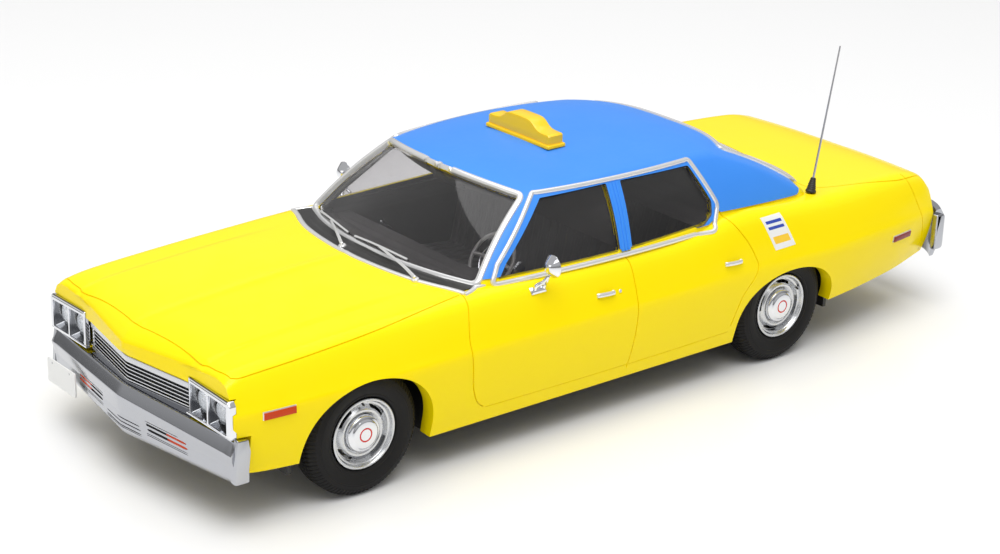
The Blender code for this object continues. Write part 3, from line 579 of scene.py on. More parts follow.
# finishes: colour, roughness and how far each shared effect is turned up
finishes = {
    "yellowPaint": {
        "colour": (1.0, 0.78, 0.0), "rough": 0.2, "tone": 0.015, "glossChange": 0.04, "dust": 0.02,
        "grain": 260.0, "bump": 0.04, "depth": 0.03,
        "shader": {"Coat Weight": 0.08, "Coat Roughness": 0.03, "Specular IOR Level": 0.12},
    },
    "blueVinyl": {
        "colour": (0.028, 0.25, 0.84), "rough": 0.52, "tone": 0.05, "glossChange": 0.08, "dust": 0.03,
        "grain": 1500.0, "bump": 0.22, "depth": 0.06,
        "shader": {"Sheen Weight": 0.12, "Sheen Roughness": 0.4},
    },
    "chrome": {
        "colour": (0.76, 0.77, 0.8), "rough": 0.09, "metal": 1.0, "tone": 0.03, "glossChange": 0.05,
        "bump": 0.03,
    },
    # bumper chrome: chrome with its colour darkened, painted shade for the dimmer reflections on the bumper
    "bumperChromeShaded": {
        "colour": (0.47, 0.48, 0.51), "rough": 0.14, "metal": 1.0, "tone": 0.04, "patches": 30.0,
        "glossChange": 0.08, "bump": 0.03,
    },
    "satinSilver": {"colour": (0.62, 0.63, 0.65), "rough": 0.27, "metal": 1.0, "tone": 0.05, "bump": 0.05},
    "steel": {
        "colour": (0.5, 0.5, 0.51), "rough": 0.3, "metal": 1.0, "tone": 0.1, "glossChange": 0.15,
        "bump": 0.1,
    },
    "trimWhite": {"colour": (0.8, 0.8, 0.8), "rough": 0.16, "metal": 0.55, "tone": 0.02, "bump": 0.02},
    "blackPlastic": {
        "colour": (0.012, 0.012, 0.013), "rough": 0.45, "tone": 0.2, "grain": 1400.0, "bump": 0.15,
        "dust": 0.05,
    },
    "blackGloss": {"colour": (0.004, 0.004, 0.004), "rough": 0.3, "tone": 0.1, "bump": 0.03},
    "seatVinyl": {
        "colour": (0.075, 0.07, 0.072), "rough": 0.55, "tone": 0.08, "grain": 1100.0, "bump": 0.08,
        "depth": 0.05, "dust": 0.04,
        "shader": {"Sheen Weight": 0.15},
    },
    "cabinGrey": {
        "colour": (0.07, 0.065, 0.067), "rough": 0.6, "tone": 0.08, "grain": 1300.0, "bump": 0.06,
        "dust": 0.04,
    },
    "tyreRubber": {
        "colour": (0.009, 0.0085, 0.0085), "rough": 0.6, "tone": 0.25, "grain": 1800.0, "bump": 0.2,
        "dust": 0.02,
        "shader": {"Specular IOR Level": 0.22},
    },
    "signYellow": {
        "colour": (1.0, 0.62, 0.0), "rough": 0.3, "tone": 0.03, "grain": 500.0, "bump": 0.04,
        "shader": {"Coat Weight": 0.2},
    },
    "whiteCard": {"colour": (0.84, 0.84, 0.82), "rough": 0.4, "tone": 0.02, "bump": 0.02},
    "blueInk": {"colour": (0.02, 0.06, 0.42), "rough": 0.4, "tone": 0.03, "bump": 0.02},
    "redInk": {"colour": (0.72, 0.02, 0.015), "rough": 0.35, "tone": 0.03, "bump": 0.02},
    "yellowInk": {"colour": (0.95, 0.6, 0.03), "rough": 0.4, "tone": 0.03, "bump": 0.02},
    "lampMirror": {
        "colour": (0.42, 0.43, 0.45), "rough": 0.1, "metal": 1.0, "tone": 0.25, "patches": 90.0,
        "bump": 0.05,
    },
    "lightWheel": {"colour": (0.42, 0.41, 0.4), "rough": 0.35, "tone": 0.08, "bump": 0.05},
}
paints = {name: finishMaterial(name, spec) for name, spec in finishes.items()}


def glassMaterial(name, colour, rough, ior=1.45, transmission=1.0, alpha=1.0):
    made = bpy.data.materials.new(name)
    made.use_nodes = True
    tree = made.node_tree
    shader = tree.nodes["Principled BSDF"]
    tone = tree.nodes.new("ShaderNodeGroup")
    tone.node_tree = mottle
    tone.inputs["Colour"].default_value = (*colour, 1)
    tone.inputs["Scale"].default_value = 30.0
    tone.inputs["Tone"].default_value = 0.02
    tone.inputs["Roughness"].default_value = rough
    tone.inputs["Gloss Change"].default_value = 0.01
    link(tree, tone, "Colour", shader, "Base Color")
    link(tree, tone, "Roughness", shader, "Roughness")
    shader.inputs["Metallic"].default_value = 0.0
    shader.inputs["IOR"].default_value = ior
    shader.inputs["Transmission Weight"].default_value = transmission
    shader.inputs["Alpha"].default_value = alpha
    made.diffuse_color = (*colour, 1)
    return made


paints["windowGlass"] = glassMaterial("windowGlass", (0.8, 0.79, 0.8), 0.01, 1.5)
paints["lampGlass"] = glassMaterial("lampGlass", (0.93, 0.95, 0.97), 0.02, 1.45)
paints["orangeLens"] = glassMaterial("orangeLens", (0.62, 0.05, 0.0), 0.14, 1.35, 0.1)
paints["redLens"] = glassMaterial("redLens", (0.26, 0.006, 0.01), 0.12, 1.38, 0.2)
print("finishes made:", len(paints))


# camera, floor and light
view = {
    "turn": -39.668, "rise": 21.2025, "roll": 1.6536, "away": 720.677, "target": (-18.005, -5.093, 35.0),
    "lens": 79.908, "sensor": 36.0,
}


def makeCamera():
    turn, rise, roll = (math.radians(view[k]) for k in ("turn", "rise", "roll"))
    back = Vector((math.sin(turn) * math.cos(rise), -math.cos(turn) * math.cos(rise), math.sin(rise)))
    right = (-back).cross(Vector((0, 0, 1))).normalized()
    up = right.cross(-back)
    across = right * math.cos(roll) + up * math.sin(roll)
    above = up * math.cos(roll) - right * math.sin(roll)
    data = bpy.data.cameras.new("camera")
    data.lens = view["lens"]
    data.sensor_width = view["sensor"]
    data.clip_start, data.clip_end = 0.01, 20.0
    camera = bpy.data.objects.new("camera", data)
    scene.collection.objects.link(camera)
    place = (Vector(view["target"]) + back * view["away"]) * mm
    camera.matrix_world = Matrix.Translation(place) @ Matrix((across, above, back)).transposed().to_4x4()
    scene.camera = camera


def areaLight(name, place, aim, size, power, colour=(1, 1, 1)):
    data = bpy.data.lights.new(name, "AREA")
    data.shape = "RECTANGLE"
    data.size, data.size_y = size
    data.energy = power
    data.color = colour
    lamp = bpy.data.objects.new(name, data)
    scene.collection.objects.link(lamp)
    lamp.location = place
    lamp.rotation_euler = (Vector(aim) - Vector(place)).to_track_quat("-Z", "Y").to_euler()
    return lamp


studio = {
    "floor": (0.9, 0.9, 0.9), "floorRough": 0.25, "floorSize": 6.0, "fill": 0.5, "horizon": 0.3,
    "sun": 1.35,
}


def makeStudio():
    side = studio["floorSize"] / mm / 2
    edge = [(a, b, 0) for a, b in rectangle(-side, -side, side, side)]
    floor = newMesh("floor", edge, [(0, 1, 2, 3)])
    paint = bpy.data.materials.new("paleFloor")
    paint.use_nodes = True
    shader = paint.node_tree.nodes["Principled BSDF"]
    shader.inputs["Base Color"].default_value = (*studio["floor"], 1)
    shader.inputs["Roughness"].default_value = studio["floorRough"]
    floor.data.materials.append(paint)
    world = bpy.data.worlds.new("studio")
    scene.world = world
    world.use_nodes = True
    tree = world.node_tree
    back = tree.nodes["Background"]
    place = tree.nodes.new("ShaderNodeTexCoord")
    parts = tree.nodes.new("ShaderNodeSeparateXYZ")
    link(tree, place, "Generated", parts, "Vector")
    ramp = tree.nodes.new("ShaderNodeValToRGB")
    ramp.color_ramp.elements[0].position = 0.0
    ramp.color_ramp.elements[0].color = (*[studio["horizon"]] * 3, 1)
    ramp.color_ramp.elements[1].position = 0.35
    ramp.color_ramp.elements[1].color = (1, 1, 1, 1)
    link(tree, parts, "Z", ramp, "Fac")
    seen = tree.nodes.new("ShaderNodeLightPath")
    mix = tree.nodes.new("ShaderNodeMix")
    mix.data_type = "RGBA"
    mix.inputs[7].default_value = (1, 1, 1, 1)
    dim = tree.nodes.new("ShaderNodeVectorMath")
    dim.operation = "SCALE"
    dim.inputs["Scale"].default_value = studio["fill"]
    tree.links.new(ramp.outputs["Color"], dim.inputs[0])
    tree.links.new(dim.outputs[0], mix.inputs[6])
    link(tree, seen, "Is Camera Ray", mix, "Factor")
    tree.links.new(mix.outputs[2], back.inputs["Color"])
    areaLight("keyLight", (-0.35, -0.5, 1.1), (0, 0, 0.03), (1.1, 0.8), 5.0)
    areaLight("topLight", (0.25, 0.35, 1.3), (0, 0, 0.03), (1.4, 1.0), 4.6)
    areaLight("noseLight", (-1.3, -0.1, 0.5), (0, 0, 0.04), (0.7, 0.5), 1.2)
    data = bpy.data.lights.new("skyLight", "SUN")
    data.energy = studio["sun"]
    data.angle = math.radians(42)
    sky = bpy.data.objects.new("skyLight", data)
    sky.rotation_euler = (math.radians(12), math.radians(-10), 0)
    scene.collection.objects.link(sky)


scene.view_settings.view_transform = "Standard"
makeCamera()
makeStudio()
print("camera, floor and lights set")


# places read from the frame
def mid(node):
    low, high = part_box(node)
    return (low + high) / 2 / mm


def corners(node):
    low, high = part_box(node)
    return low / mm, high / mm


frontAxle, rearAxle = mid("tyre_front_left"), mid("tyre_rear_left")
noseX = -149.5
tailX = corners("rear_bumper")[1].x - 12.0
wall = 1.8
glassThick = 1.0

# painted body: cross sections from nose to tail, (x, value)
body = {
    "bottomZ": [
        (-150, 18.6), (-138, 17.4), (-127, 17.0), (-80, 12.6), (44, 12.4), (91, 16.6), (125, 18.4),
        (146, 21.0),
    ],
    "bottomY": [
        (-150, 47.0), (-138, 49.0), (-120, 50.5), (-80, 50.5), (44, 50.5), (91, 50.0), (125, 46.5),
        (146, 43.0),
    ],
    "waistY": [
        (-150, 51.0), (-138, 52.6), (-104, 54.2), (-60, 54.5), (50, 54.5), (80, 54.3), (120, 51.5),
        (146, 47.5),
    ],
    "waistZ": [(-150, 36.5), (-104, 36.5), (60, 36.0), (146, 36.0)],
    "shoulderY": [
        (-150, 47.4), (-135, 47.8), (-100, 48.4), (-60, 49.4), (40, 50.0), (90, 48.6), (120, 46.6),
        (146, 43.6),
    ],
    "shoulderZ": [
        (-150, 46.4), (-147, 48.0), (-140, 49.2), (-120, 50.6), (-90, 52.0), (-57, 52.8), (-20, 52.7),
        (15, 52.9),
        (30, 54.0), (42, 56.2), (52, 56.4), (62, 55.4), (78, 53.9), (92, 53.2), (115, 53.0), (130, 52.6),
        (138, 51.2),
        (142, 49.6), (145, 46.4),
    ],
    "crownZ": [
        (-150, 43.6), (-147, 46.8), (-140, 49.4), (-120, 51.4), (-90, 53.4), (-64, 54.4), (0, 53.6),
        (80, 54.0),
        (100, 54.2), (125, 53.4), (136, 52.0), (142, 49.8), (145, 46.6),
    ],
    "veeDepth": 5.0, "veeHalf": 30.0, "tailBow": 2.6,
    "domeHalf": 34.5, "domeRise": 0.35, "domeEdge": 1.6, "creaseRise": 0.22, "creaseHalf": 3.0,
}
curves = {k: curveThrough(v) for k, v in body.items() if isinstance(v, list)}


def noseSweep(x, y):
    # how far a station bows forward at the nose, where the front is V-shaped in plan, and back at the tail
    front = min(max((-110 - x) / 40, 0.0), 1.0) ** 1.5
    rear = min(max((x - 110) / 35, 0.0), 1.0) ** 1.5
    vee = body["veeDepth"] * max(0.0, 1 - abs(y) / body["veeHalf"]) + 0.4 * max(0.0, 1 - (y / 52) ** 2)
    return body["tailBow"] * max(0.0, 1 - (y / 50) ** 2) * rear - vee * front


def hoodRelief(x, y):
    # the raised middle of the bonnet and the soft crease along it
    across = 1 - smooth((abs(y) - body["domeHalf"] + body["domeEdge"] / 2) / body["domeEdge"])
    along = smooth((x + 149.0) / 3.0) * (1 - smooth((x + 98.0) / 24.0))
    crease = max(0.0, 1 - abs(y) / body["creaseHalf"]) * smooth((x + 148) / 4) * (1 - smooth((x + 78) / 6))
    return body["domeRise"] * across * along + body["creaseRise"] * crease


topSteps = 46


def lowerHalf(x, inset=0.0, relief=True):
    # right half of a section, from the sill's bottom edge up and in to the centre line
    low = Vector((curves["bottomY"](x) - inset, curves["bottomZ"](x)))
    waist = Vector((curves["waistY"](x) - inset, curves["waistZ"](x)))
    shoulder = Vector((curves["shoulderY"](x) - inset, curves["shoulderZ"](x) - inset))
    middle = Vector((0.0, curves["crownZ"](x) - inset))
    points = [low.lerp(waist, t) + Vector((math.sin(math.pi * t) * 0.7, 0)) for t in (0, 1 / 3, 2 / 3)]
    start, end = shoulder.lerp(waist, 0.30), shoulder.lerp(middle, 0.12)
    points += [waist.lerp(start, t) + Vector((math.sin(math.pi * t) * 0.25, 0)) for t in (0, 1 / 3, 2 / 3)]
    points += [start.lerp(shoulder, t).lerp(shoulder.lerp(end, t), t) for t in (0, 1 / 3, 2 / 3, 1)]
    points.append(end.lerp(middle, 0.2))
    side = [Vector(p[:2]) for p in catmull([(p.x, p.y, 0) for p in points], 4)][:-5]
    for k in range(topSteps + 1):
        t = k / topSteps
        p = end.lerp(middle, t)
        p.y += 0.2 * math.sin(math.pi * t) + (hoodRelief(x, p.x) if relief else 0.0)
        side.append(p)
    return side


def lowerRing(x, inset=0.0, sink=0.0, relief=True):
    half = lowerHalf(x, inset, relief)
    ring = [(x + noseSweep(x, p.x), p.x, p.y) for p in half]
    ring += [(x + noseSweep(x, p.x), -p.x, p.y) for p in reversed(half[:-1])]
    if sink:
        edge, z = half[0].x, half[0].y - sink
        ring = [(x, edge, z)] + ring + [(x, -edge, z)]
    return ring


def lowerSolid(name, stations, inset=0.0, sink=0.0, relief=True, capRings=6):
    rings = [lowerRing(x, inset, sink, relief) for x in stations]
    count = len(rings[0])
    verts = [p for ring in rings for p in ring]
    faces = ringFaces(len(rings), count, True, False)
    for first, x, ring in ((0, stations[0], rings[0]), ((len(rings) - 1) * count, stations[-1], rings[-1])):
        hub = Vector((0, 0, sum(p[2] for p in ring) / count))
        outer = list(range(first, first + count))
        for k in range(1, capRings + 1):
            t = 1 - k / capRings
            if k == capRings:
                verts.append((x + noseSweep(x, 0), 0, hub.z))
                tip = len(verts) - 1
                faces += [(outer[i], outer[(i + 1) % count], tip) for i in range(count)]
                break
            inner = []
            for p in ring:
                y, z = p[1] * t, hub.z + (p[2] - hub.z) * t
                verts.append((x + noseSweep(x, y), y, z))
                inner.append(len(verts) - 1)
            for i in range(count):
                j = (i + 1) % count
                faces.append((outer[i], outer[j], inner[j], inner[i]))
            outer = inner
    return newMesh(name, verts, faces)


def stationsBetween(knots, gap):
    found = []
    for a, b in zip(knots, knots[1:]):
        found += spread(a, b, max(2, int(abs(b - a) / gap) + 1))[:-1]
    return found + [knots[-1]]


# greenhouse: a wall that leans in from the belt, closed by a crowned roof
house = {
    "belt": 53.4, "drop": 6.0, "crownPower": 2.2, "edgeRound": 0.88,
    "spine": [
        (-42, 75.6), (-38, 76.8), (-30, 78.0), (-18, 78.7), (2, 79.3), (24, 79.2), (40, 78.2), (50, 76.4),
        (55, 75.0),
    ],
    "screenLevels": (0.03, 0.95), "screenSide": 0.955, "rearLevels": (0.08, 0.88), "rearSide": 0.84,
    "frontWindow": [(-51.4, 54.0), (-47.6, 58.2), (-29.2, 73.4), (-4.4, 74.0), (-5.2, 54.0)],
    "rearWindow": [(-0.4, 54.0), (1.2, 74.0), (30.6, 73.4), (36.6, 61.6), (35.8, 57.6), (31.5, 55.0)],
    "frontRound": [0.5, 1.5, 1.2, 0.6, 0.5], "rearRound": [0.5, 0.6, 1.6, 2.2, 2.2, 2.2],
}
spineZ = curveThrough(house["spine"])


def frontEdge(side, level):
    bend = side ** 2.2
    foot = Vector((-67.5 + 10.0 * bend, 43.8 * side, 53.6 - 0.9 * bend))
    head = Vector((-39.0 + 6.6 * bend, 34.2 * side, 76.4 - 2.2 * bend))
    return foot.lerp(head, level) + Vector((-1.1, 0, 0.9)) * math.sin(math.pi * min(level, 1))


def rearEdge(side, level):
    bend = side ** 3.2
    foot = Vector((93.5 - 9.5 * bend, 41.4 * side, 54.2))
    head = Vector((54.0 - 10.0 * bend, 36.4 * side, 75.2 - 1.6 * bend))
    return foot.lerp(head, level) + Vector((0.9, 0, 1.1)) * math.sin(math.pi * min(level, 1))


def flank(along, level):
    point = frontEdge(1.0, level).lerp(rearEdge(1.0, level), along)
    swell = math.sin(math.pi * along) ** 0.75
    point.y += swell * (5.2 * (1 - level) + 2.6 * level) + 0.5 * math.sin(math.pi * min(max(level, 0), 1))
    point.z += swell * (1.4 * level + 0.4 * (1 - level))
    return point


def houseSolid(name, offset=0.0, inset=0.0, drop=None, fine=5, levels=13, across=31):
    drop = house["drop"] if drop is None else drop
    shrink = Vector((1 - inset / 72.0, 1 - inset / 42.0))
    rows = []
    for level in spread(0, 1, levels):
        half = [frontEdge(s, level) for s in spread(0, 1, 5 * fine + 1)]
        half += [flank(a, level) for a in spread(0, 1, 12 * fine + 1)[1:]]
        half += [rearEdge(s, level) for s in spread(1, 0, 5 * fine + 1)[1:]]
        down = inset * level ** 2
        rows.append([Vector((10 + (p.x - 10) * shrink.x, p.y * shrink.y, p.z - down)) for p in half])
    rows.insert(0, [Vector((p.x, p.y, house["belt"] - drop)) for p in rows[0]])
    count = 2 * len(rows[0]) - 2
    last = len(rows[0]) - 1
    verts = []
    for half in rows:
        verts += half + [Vector((p.x, -p.y, p.z)) for p in half[1:-1]][::-1]
    faces = ringFaces(len(rows), count, True, False)
    for start, roof in (((len(rows) - 1) * count, True), (0, False)):
        strips = []
        for i in range(1, last):
            right, left = start + i, start + count - i
            strip = [right]
            base = verts[right]
            for t in spread(1, -1, across if roof else 9)[1:-1]:
                rise = 0.0
                if roof:
                    crown = max(1 - abs(t) ** house["crownPower"], 0.0) ** house["edgeRound"]
                    rise = max(spineZ(base.x) - inset - base.z, 0.0) * crown
                verts.append(Vector((base.x, base.y * t, base.z + rise)))
                strip.append(len(verts) - 1)
            strips.append(strip + [left])
        for one, two in zip(strips, strips[1:]):
            faces += [(one[k], one[k + 1], two[k + 1], two[k]) for k in range(len(one) - 1)]
        for tip, strip in ((start, strips[0]), (start + last, strips[-1])):
            faces += [(tip, strip[k], strip[k + 1]) for k in range(len(strip) - 1)]
    made = newMesh(name, verts, faces)
    if offset:
        normals = [v.normal.copy() for v in made.data.vertices]
        for v, n in zip(made.data.vertices, normals):
            v.co += n * offset * mm
        made.data.update()
    return made


def screenNormal(edge):
    lean = edge(0, 1) - edge(0, 0)
    outward = Vector((-lean.z, 0, lean.x)).normalized()
    return outward if outward.z > 0 else -outward


def screenBlock(name, edge, levels, side, grow=0.0, radius=2.2, reach=9.0):
    # a cutter through a screen: its outline has rounded corners in side and level
    wide, tall = 40.0, 30.0
    low, high = levels
    flat = rectangle(-side * wide, low * tall, side * wide, high * tall)
    outline = rounded(shifted(flat, -grow), radius, 6)
    dense = []
    for a, b in zip(outline, outline[1:] + outline[:1]):
        steps = max(1, int((b - a).length / 1.2))
        dense += [a.lerp(b, k / steps) for k in range(steps)]
    outward = screenNormal(edge)
    rings = []
    for depth in (reach, -reach):
        ring = []
        for p in dense:
            s, level = p.x / wide, p.y / tall
            q = edge(min(abs(s), 1.0), level) + outward * depth
            ring.append((q.x, math.copysign(q.y, s), q.z))
        rings.append(ring)
    count = len(dense)
    verts = rings[0] + rings[1]
    faces = [(i, (i + 1) % count, count + (i + 1) % count, count + i) for i in range(count)]
    for start in (0, count):
        centre = sum((Vector(verts[start + i]) for i in range(count)), Vector()) / count
        verts.append(tuple(centre))
        faces += [(start + i, start + (i + 1) % count, len(verts) - 1) for i in range(count)]
    return newMesh(name, verts, faces)


def archOutline(axleX, top, radius=23.2, floor=0.0, steps=48, grow=0.0):
    points = [Vector((axleX + radius - grow, floor))]
    for i in range(steps + 1):
        angle = math.pi * i / steps
        rise = (top - grow - 16) * math.sin(angle) ** 0.8 if 0 < i < steps else 0.0
        points.append(Vector((axleX + (radius - grow) * math.cos(angle), 16 + rise)))
    points.append(Vector((axleX - radius + grow, floor)))
    return points


def windowPrism(name, front, grow=0.0, low=-60.0, high=60.0):
    outline = house["frontWindow"] if front else house["rearWindow"]
    radius = house["frontRound"] if front else house["rearRound"]
    return prism(name, rounded(shifted(outline, -grow), radius, 5), "Y", low, high)


outerStations = stationsBetween(
    [noseX, -147, -144, -138, -120, -90, -60, 20, 60, 90, 125, 136, 142, tailX], 2.6,
)
edgeStations = [-148.5, -148, -147.5, -146.5, -145.8, -145, 143.2, 144.2]
outerStations = sorted(set([round(x, 3) for x in outerStations] + edgeStations))
innerStations = stationsBetween([-141, -110, -90, -70, -40, 0, 35, 60, 80, 100, 136], 8.0)
arches = [(frontAxle.x, 38.0), (rearAxle.x, 34.2)]

lowerObject = lowerSolid("lowerSkin", outerStations)
lowerSkin = Surface(lowerObject)
houseObject = houseSolid("houseSkin")
houseSkin = Surface(houseObject)
vinylOffset = 0.5
vinylSkin = Surface(houseSolid("vinylSkin", vinylOffset))
bpy.data.objects.remove(bpy.data.objects["vinylSkin"], do_unlink=True)


def onSide(x, z, hand=-1, skins=None):
    # the outermost skin at a place on the flank: point and normal
    best = None
    for skin in skins or (lowerSkin, houseSkin):
        found = skin.hit((x, hand * 80, z), (0, -hand, 0))
        if found and (best is None or abs(found[0].y) > abs(best[0].y)):
            best = found
    return best


def onTop(x, y, skins=None):
    best = None
    for skin in skins or (lowerSkin,):
        found = skin.hit((x, y, 120), (0, 0, -1))
        if found and (best is None or found[0].z > best[0].z):
            best = found
    return best


def groove(name, found, width, depth):
    profile = [(-width / 2, 0.5), (width / 2, 0.5), (width / 2, -depth * 0.5), (width * 0.25, -depth)]
    profile += [(-width * 0.25, -depth), (-width / 2, -depth * 0.5)]
    return sweepOn(name, found, profile)


shutLines = {
    "width": 0.36, "depth": 0.55,
    "frontDoor": [
        (-65.4, 53.3), (-66.6, 50.5), (-67.9, 45.6), (-68.6, 40.0), (-67.6, 29.0), (-66.8, 25.0),
        (-64.8, 20.5), (-62.0, 18.0),
    ],
    "centrePost": [
        (-3.0, 53.0), (-2.6, 48.0), (-2.3, 40.0), (-2.3, 30.0), (-2.6, 24.0), (-3.2, 18.0), (-3.4, 15.5),
    ],
    "rearDoor": [
        (39.6, 57.6), (43.2, 53.0), (47.6, 47.0), (50.6, 41.0), (50.9, 38.6), (48.9, 34.9), (45.2, 30.4),
        (43.4, 26.0), (41.6, 19.5),
    ],
    "quarterEnd": [
        (131.3, 52.2), (133.4, 47.6), (135.3, 43.1), (137.6, 37.8), (139.5, 32.5), (141.8, 26.4),
        (143.0, 22.1),
    ],
    "bonnetSide": [(-66.6, 44.9), (-80, 46.4), (-100, 47.9), (-125, 48.2), (-143, 47.6), (-147.2, 46.4)],
    "bonnetFront": [
        (-147.2, 46.4), (-147.9, 41.0), (-148.1, 36.0), (-148.6, 33.4), (-148.3, 28.0), (-148.2, 18.0),
        (-148.8, 8.0), (-149.6, 0.0),
    ],
    "bootSide": [(91.4, 38.2), (100.0, 41.0), (112.0, 43.6), (124.0, 45.0), (132.0, 44.6), (141.0, 42.6)],
    "bootFront": [(91.4, 38.2), (90.9, 31.0), (94.8, 8.0), (97.2, 0.0)],
    "sillSteps": [(-61.0, 17.6), (-30.0, 17.2), (10.0, 17.0), (41.0, 17.4)],
}


bezelEdge = [(29.2, 31.2), (50.7, 30.6), (50.7, 40.6), (49.6, 41.9), (29.2, 42.4)]


def makeBody():
    shell = lowerObject.copy()
    shell.data = lowerObject.data.copy()
    shell.name = "bodyPaintwork"
    scene.collection.objects.link(shell)
    cut(shell, [houseSolid("houseOuter")], "UNION")
    hull = Surface(shell)
    cutters = [lowerSolid("innerLow", innerStations, wall, 9.0, False, 1)]
    cutters.append(houseSolid("innerHouse", 0.0, wall, 14.0, 3, 7, 13))
    cut(shell, cutters, oneByOne=True)
    cutters = [prism("archCut", archOutline(x, top), "Y", -60, 60) for x, top in arches]
    cutters.append(screenBlock("screenCut", frontEdge, house["screenLevels"], house["screenSide"]))
    cutters.append(screenBlock("rearCut", rearEdge, house["rearLevels"], house["rearSide"]))
    cutters += [windowPrism("windowCut", front) for front in (True, False)]
    for low, high in (
        ((-165, 28.9, 31.0), (-145.2, 49.6, 42.2)), ((-165, -49.6, 31.0), (-145.2, -28.9, 42.2)),
        ((-165, -29.0, 29.0), (-145.3, 29.0, 40.5)), ((-165, -60, 5.0), (-144, 60, 30.75)),
    ):
        outline = rectangle(*low[:2], *high[:2])
        cutters.append(prism("bayCut", outline, "Z", low[2], high[2]))
    for hand in (-1, 1):
        outline = [(hand * p.x, p.y) for p in shifted(bezelEdge, -0.12)]
        cutters.append(prism("bezelCut", outline, "X", -165, -148.3))
    cut(shell, cutters)
    lines = []
    for hand in (-1, 1):
        for key in ("frontDoor", "centrePost", "rearDoor", "quarterEnd"):
            path = catmull([(x, z, 0) for x, z in shutLines[key]], 7)
            lines.append([onSide(p.x, p.y, hand) for p in path])
        for key in ("bonnetSide", "bootSide"):
            path = catmull([(x, hand * y, 0) for x, y in shutLines[key]], 8)
            lines.append([onTop(p.x, p.y) for p in path])
    for key in ("bonnetFront", "bootFront"):
        half = shutLines[key]
        path = catmull([(x, y, 0) for x, y in half] + [(x, -y, 0) for x, y in half[-2::-1]], 7)
        lines.append([onTop(p.x, p.y) for p in path])
    cutters = [groove("shutLine", line, shutLines["width"], shutLines["depth"]) for line in lines]
    for hand in (-1, 1):
        path = catmull([(x, z, 0) for x, z in shutLines["sillSteps"]], 8)
        cutters.append(groove("sillStep", [onSide(p.x, p.y, hand) for p in path], 0.3, 0.16))
    cut(shell, cutters)
    repaint(shell, "yellowPaint", "cabinGrey")
    for poly in shell.data.polygons:
        if hull.nearest(poly.center)[1] > 1.2 * mm and poly.center.x > -0.14:
            poly.material_index = 1
    borrowNormals(shell, [lowerSkin, houseSkin])
    return piece(shell, slot="yellow_paint", replaces="body_shell")


makeBody()
print("body paintwork built")


def makeVinyl():
    # the padded roof: a thin skin over roof and pillars, cut round every opening and along its lower edge
    cover = houseSolid("vinylRoof", vinylOffset)
    cut(cover, [houseSolid("vinylInner", -0.3)])
    cutters = [screenBlock("screenGap", frontEdge, house["screenLevels"], house["screenSide"], 0.5)]
    cutters.append(screenBlock("rearGap", rearEdge, house["rearLevels"], house["rearSide"], 0.5))
    cutters += [windowPrism("windowGap", front) for front in (True, False)]
    edge = vinylEdge["points"]
    outline = [(x, z) for x, z in edge] + [(edge[-1][0], 40.0), (edge[0][0], 40.0)]
    cutters.append(prism("belowEdge", outline, "Y", -60, 60))
    cut(cover, cutters)
    repaint(cover, "blueVinyl", "cabinGrey")
    for poly in cover.data.polygons:
        if vinylSkin.nearest(poly.center)[1] > 0.7 * mm:
            poly.material_index = 1
    borrowNormals(cover, [vinylSkin])
    print("roof covered")
    return piece(cover)


vinylEdge = {
    "points": [
        (-80, 54.9), (-45, 54.9), (33.5, 54.9), (36.4, 56.0), (37.6, 59.6), (38.6, 58.9), (40.0, 57.6),
        (60.0, 56.2), (76.0, 55.1),
        (79.0, 55.0), (80.4, 55.6), (81.4, 57.0), (84, 62), (100, 80), (110, 80),
    ],
}


# trims that follow the openings
def halfRound(width, height, sink=0.25, steps=8, power=1.0):
    arc = [math.pi * i / steps for i in range(steps + 1)]
    top = [(math.cos(a) * width / 2, math.sin(a) ** power * height) for a in arc]
    return top + [(-width / 2, -sink), (width / 2, -sink)]


def resample(points, gap, closed=False):
    pts = [Vector(p) for p in points]
    pairs = list(zip(pts, pts[1:] + pts[:1])) if closed else list(zip(pts, pts[1:]))
    found = []
    for a, b in pairs:
        steps = max(1, int((b - a).length / gap + 0.5))
        found += [a.lerp(b, k / steps) for k in range(steps)]
    return found if closed else found + [pts[-1]]


trims = {
    "screenWidth": 2.1, "screenHeight": 0.75, "screenOut": 0.75, "dripWidth": 1.6, "dripHeight": 0.6,
    "beltLoop": [(-54.2, 53.0), (-50.6, 58.3), (-31.0, 74.9), (31.6, 75.0), (39.2, 60.2), (35.4, 53.0)],
    "beltRound": [1.2, 3.0, 1.6, 1.6, 3.0, 4.0],
    "cowlEdge": [(-64.4, 45.2), (-66.6, 39.6), (-69.4, 33.4), (-71.9, 26.0), (-74.2, 14.0), (-75.4, 0.0)],
    "cowlWidth": 1.75, "cowlHeight": 0.55,
}


def screenLoop(edge, levels, side, grow, radius=2.2):
    wide, tall = 40.0, 30.0
    low, high = levels
    flat = rectangle(-side * wide, low * tall, side * wide, high * tall)
    outline = resample(rounded(shifted(flat, -grow), radius, 8), 1.0, True)
    found = []
    for p in outline:
        s = p.x / wide
        q = edge(min(abs(s), 1.06), p.y / tall)
        q.y = math.copysign(q.y, s)
        normal, _ = vinylSkin.nearest(q * mm)
        place, _, _, _ = vinylSkin.tree.find_nearest(q * mm)
        found.append((place / mm, normal))
    return found


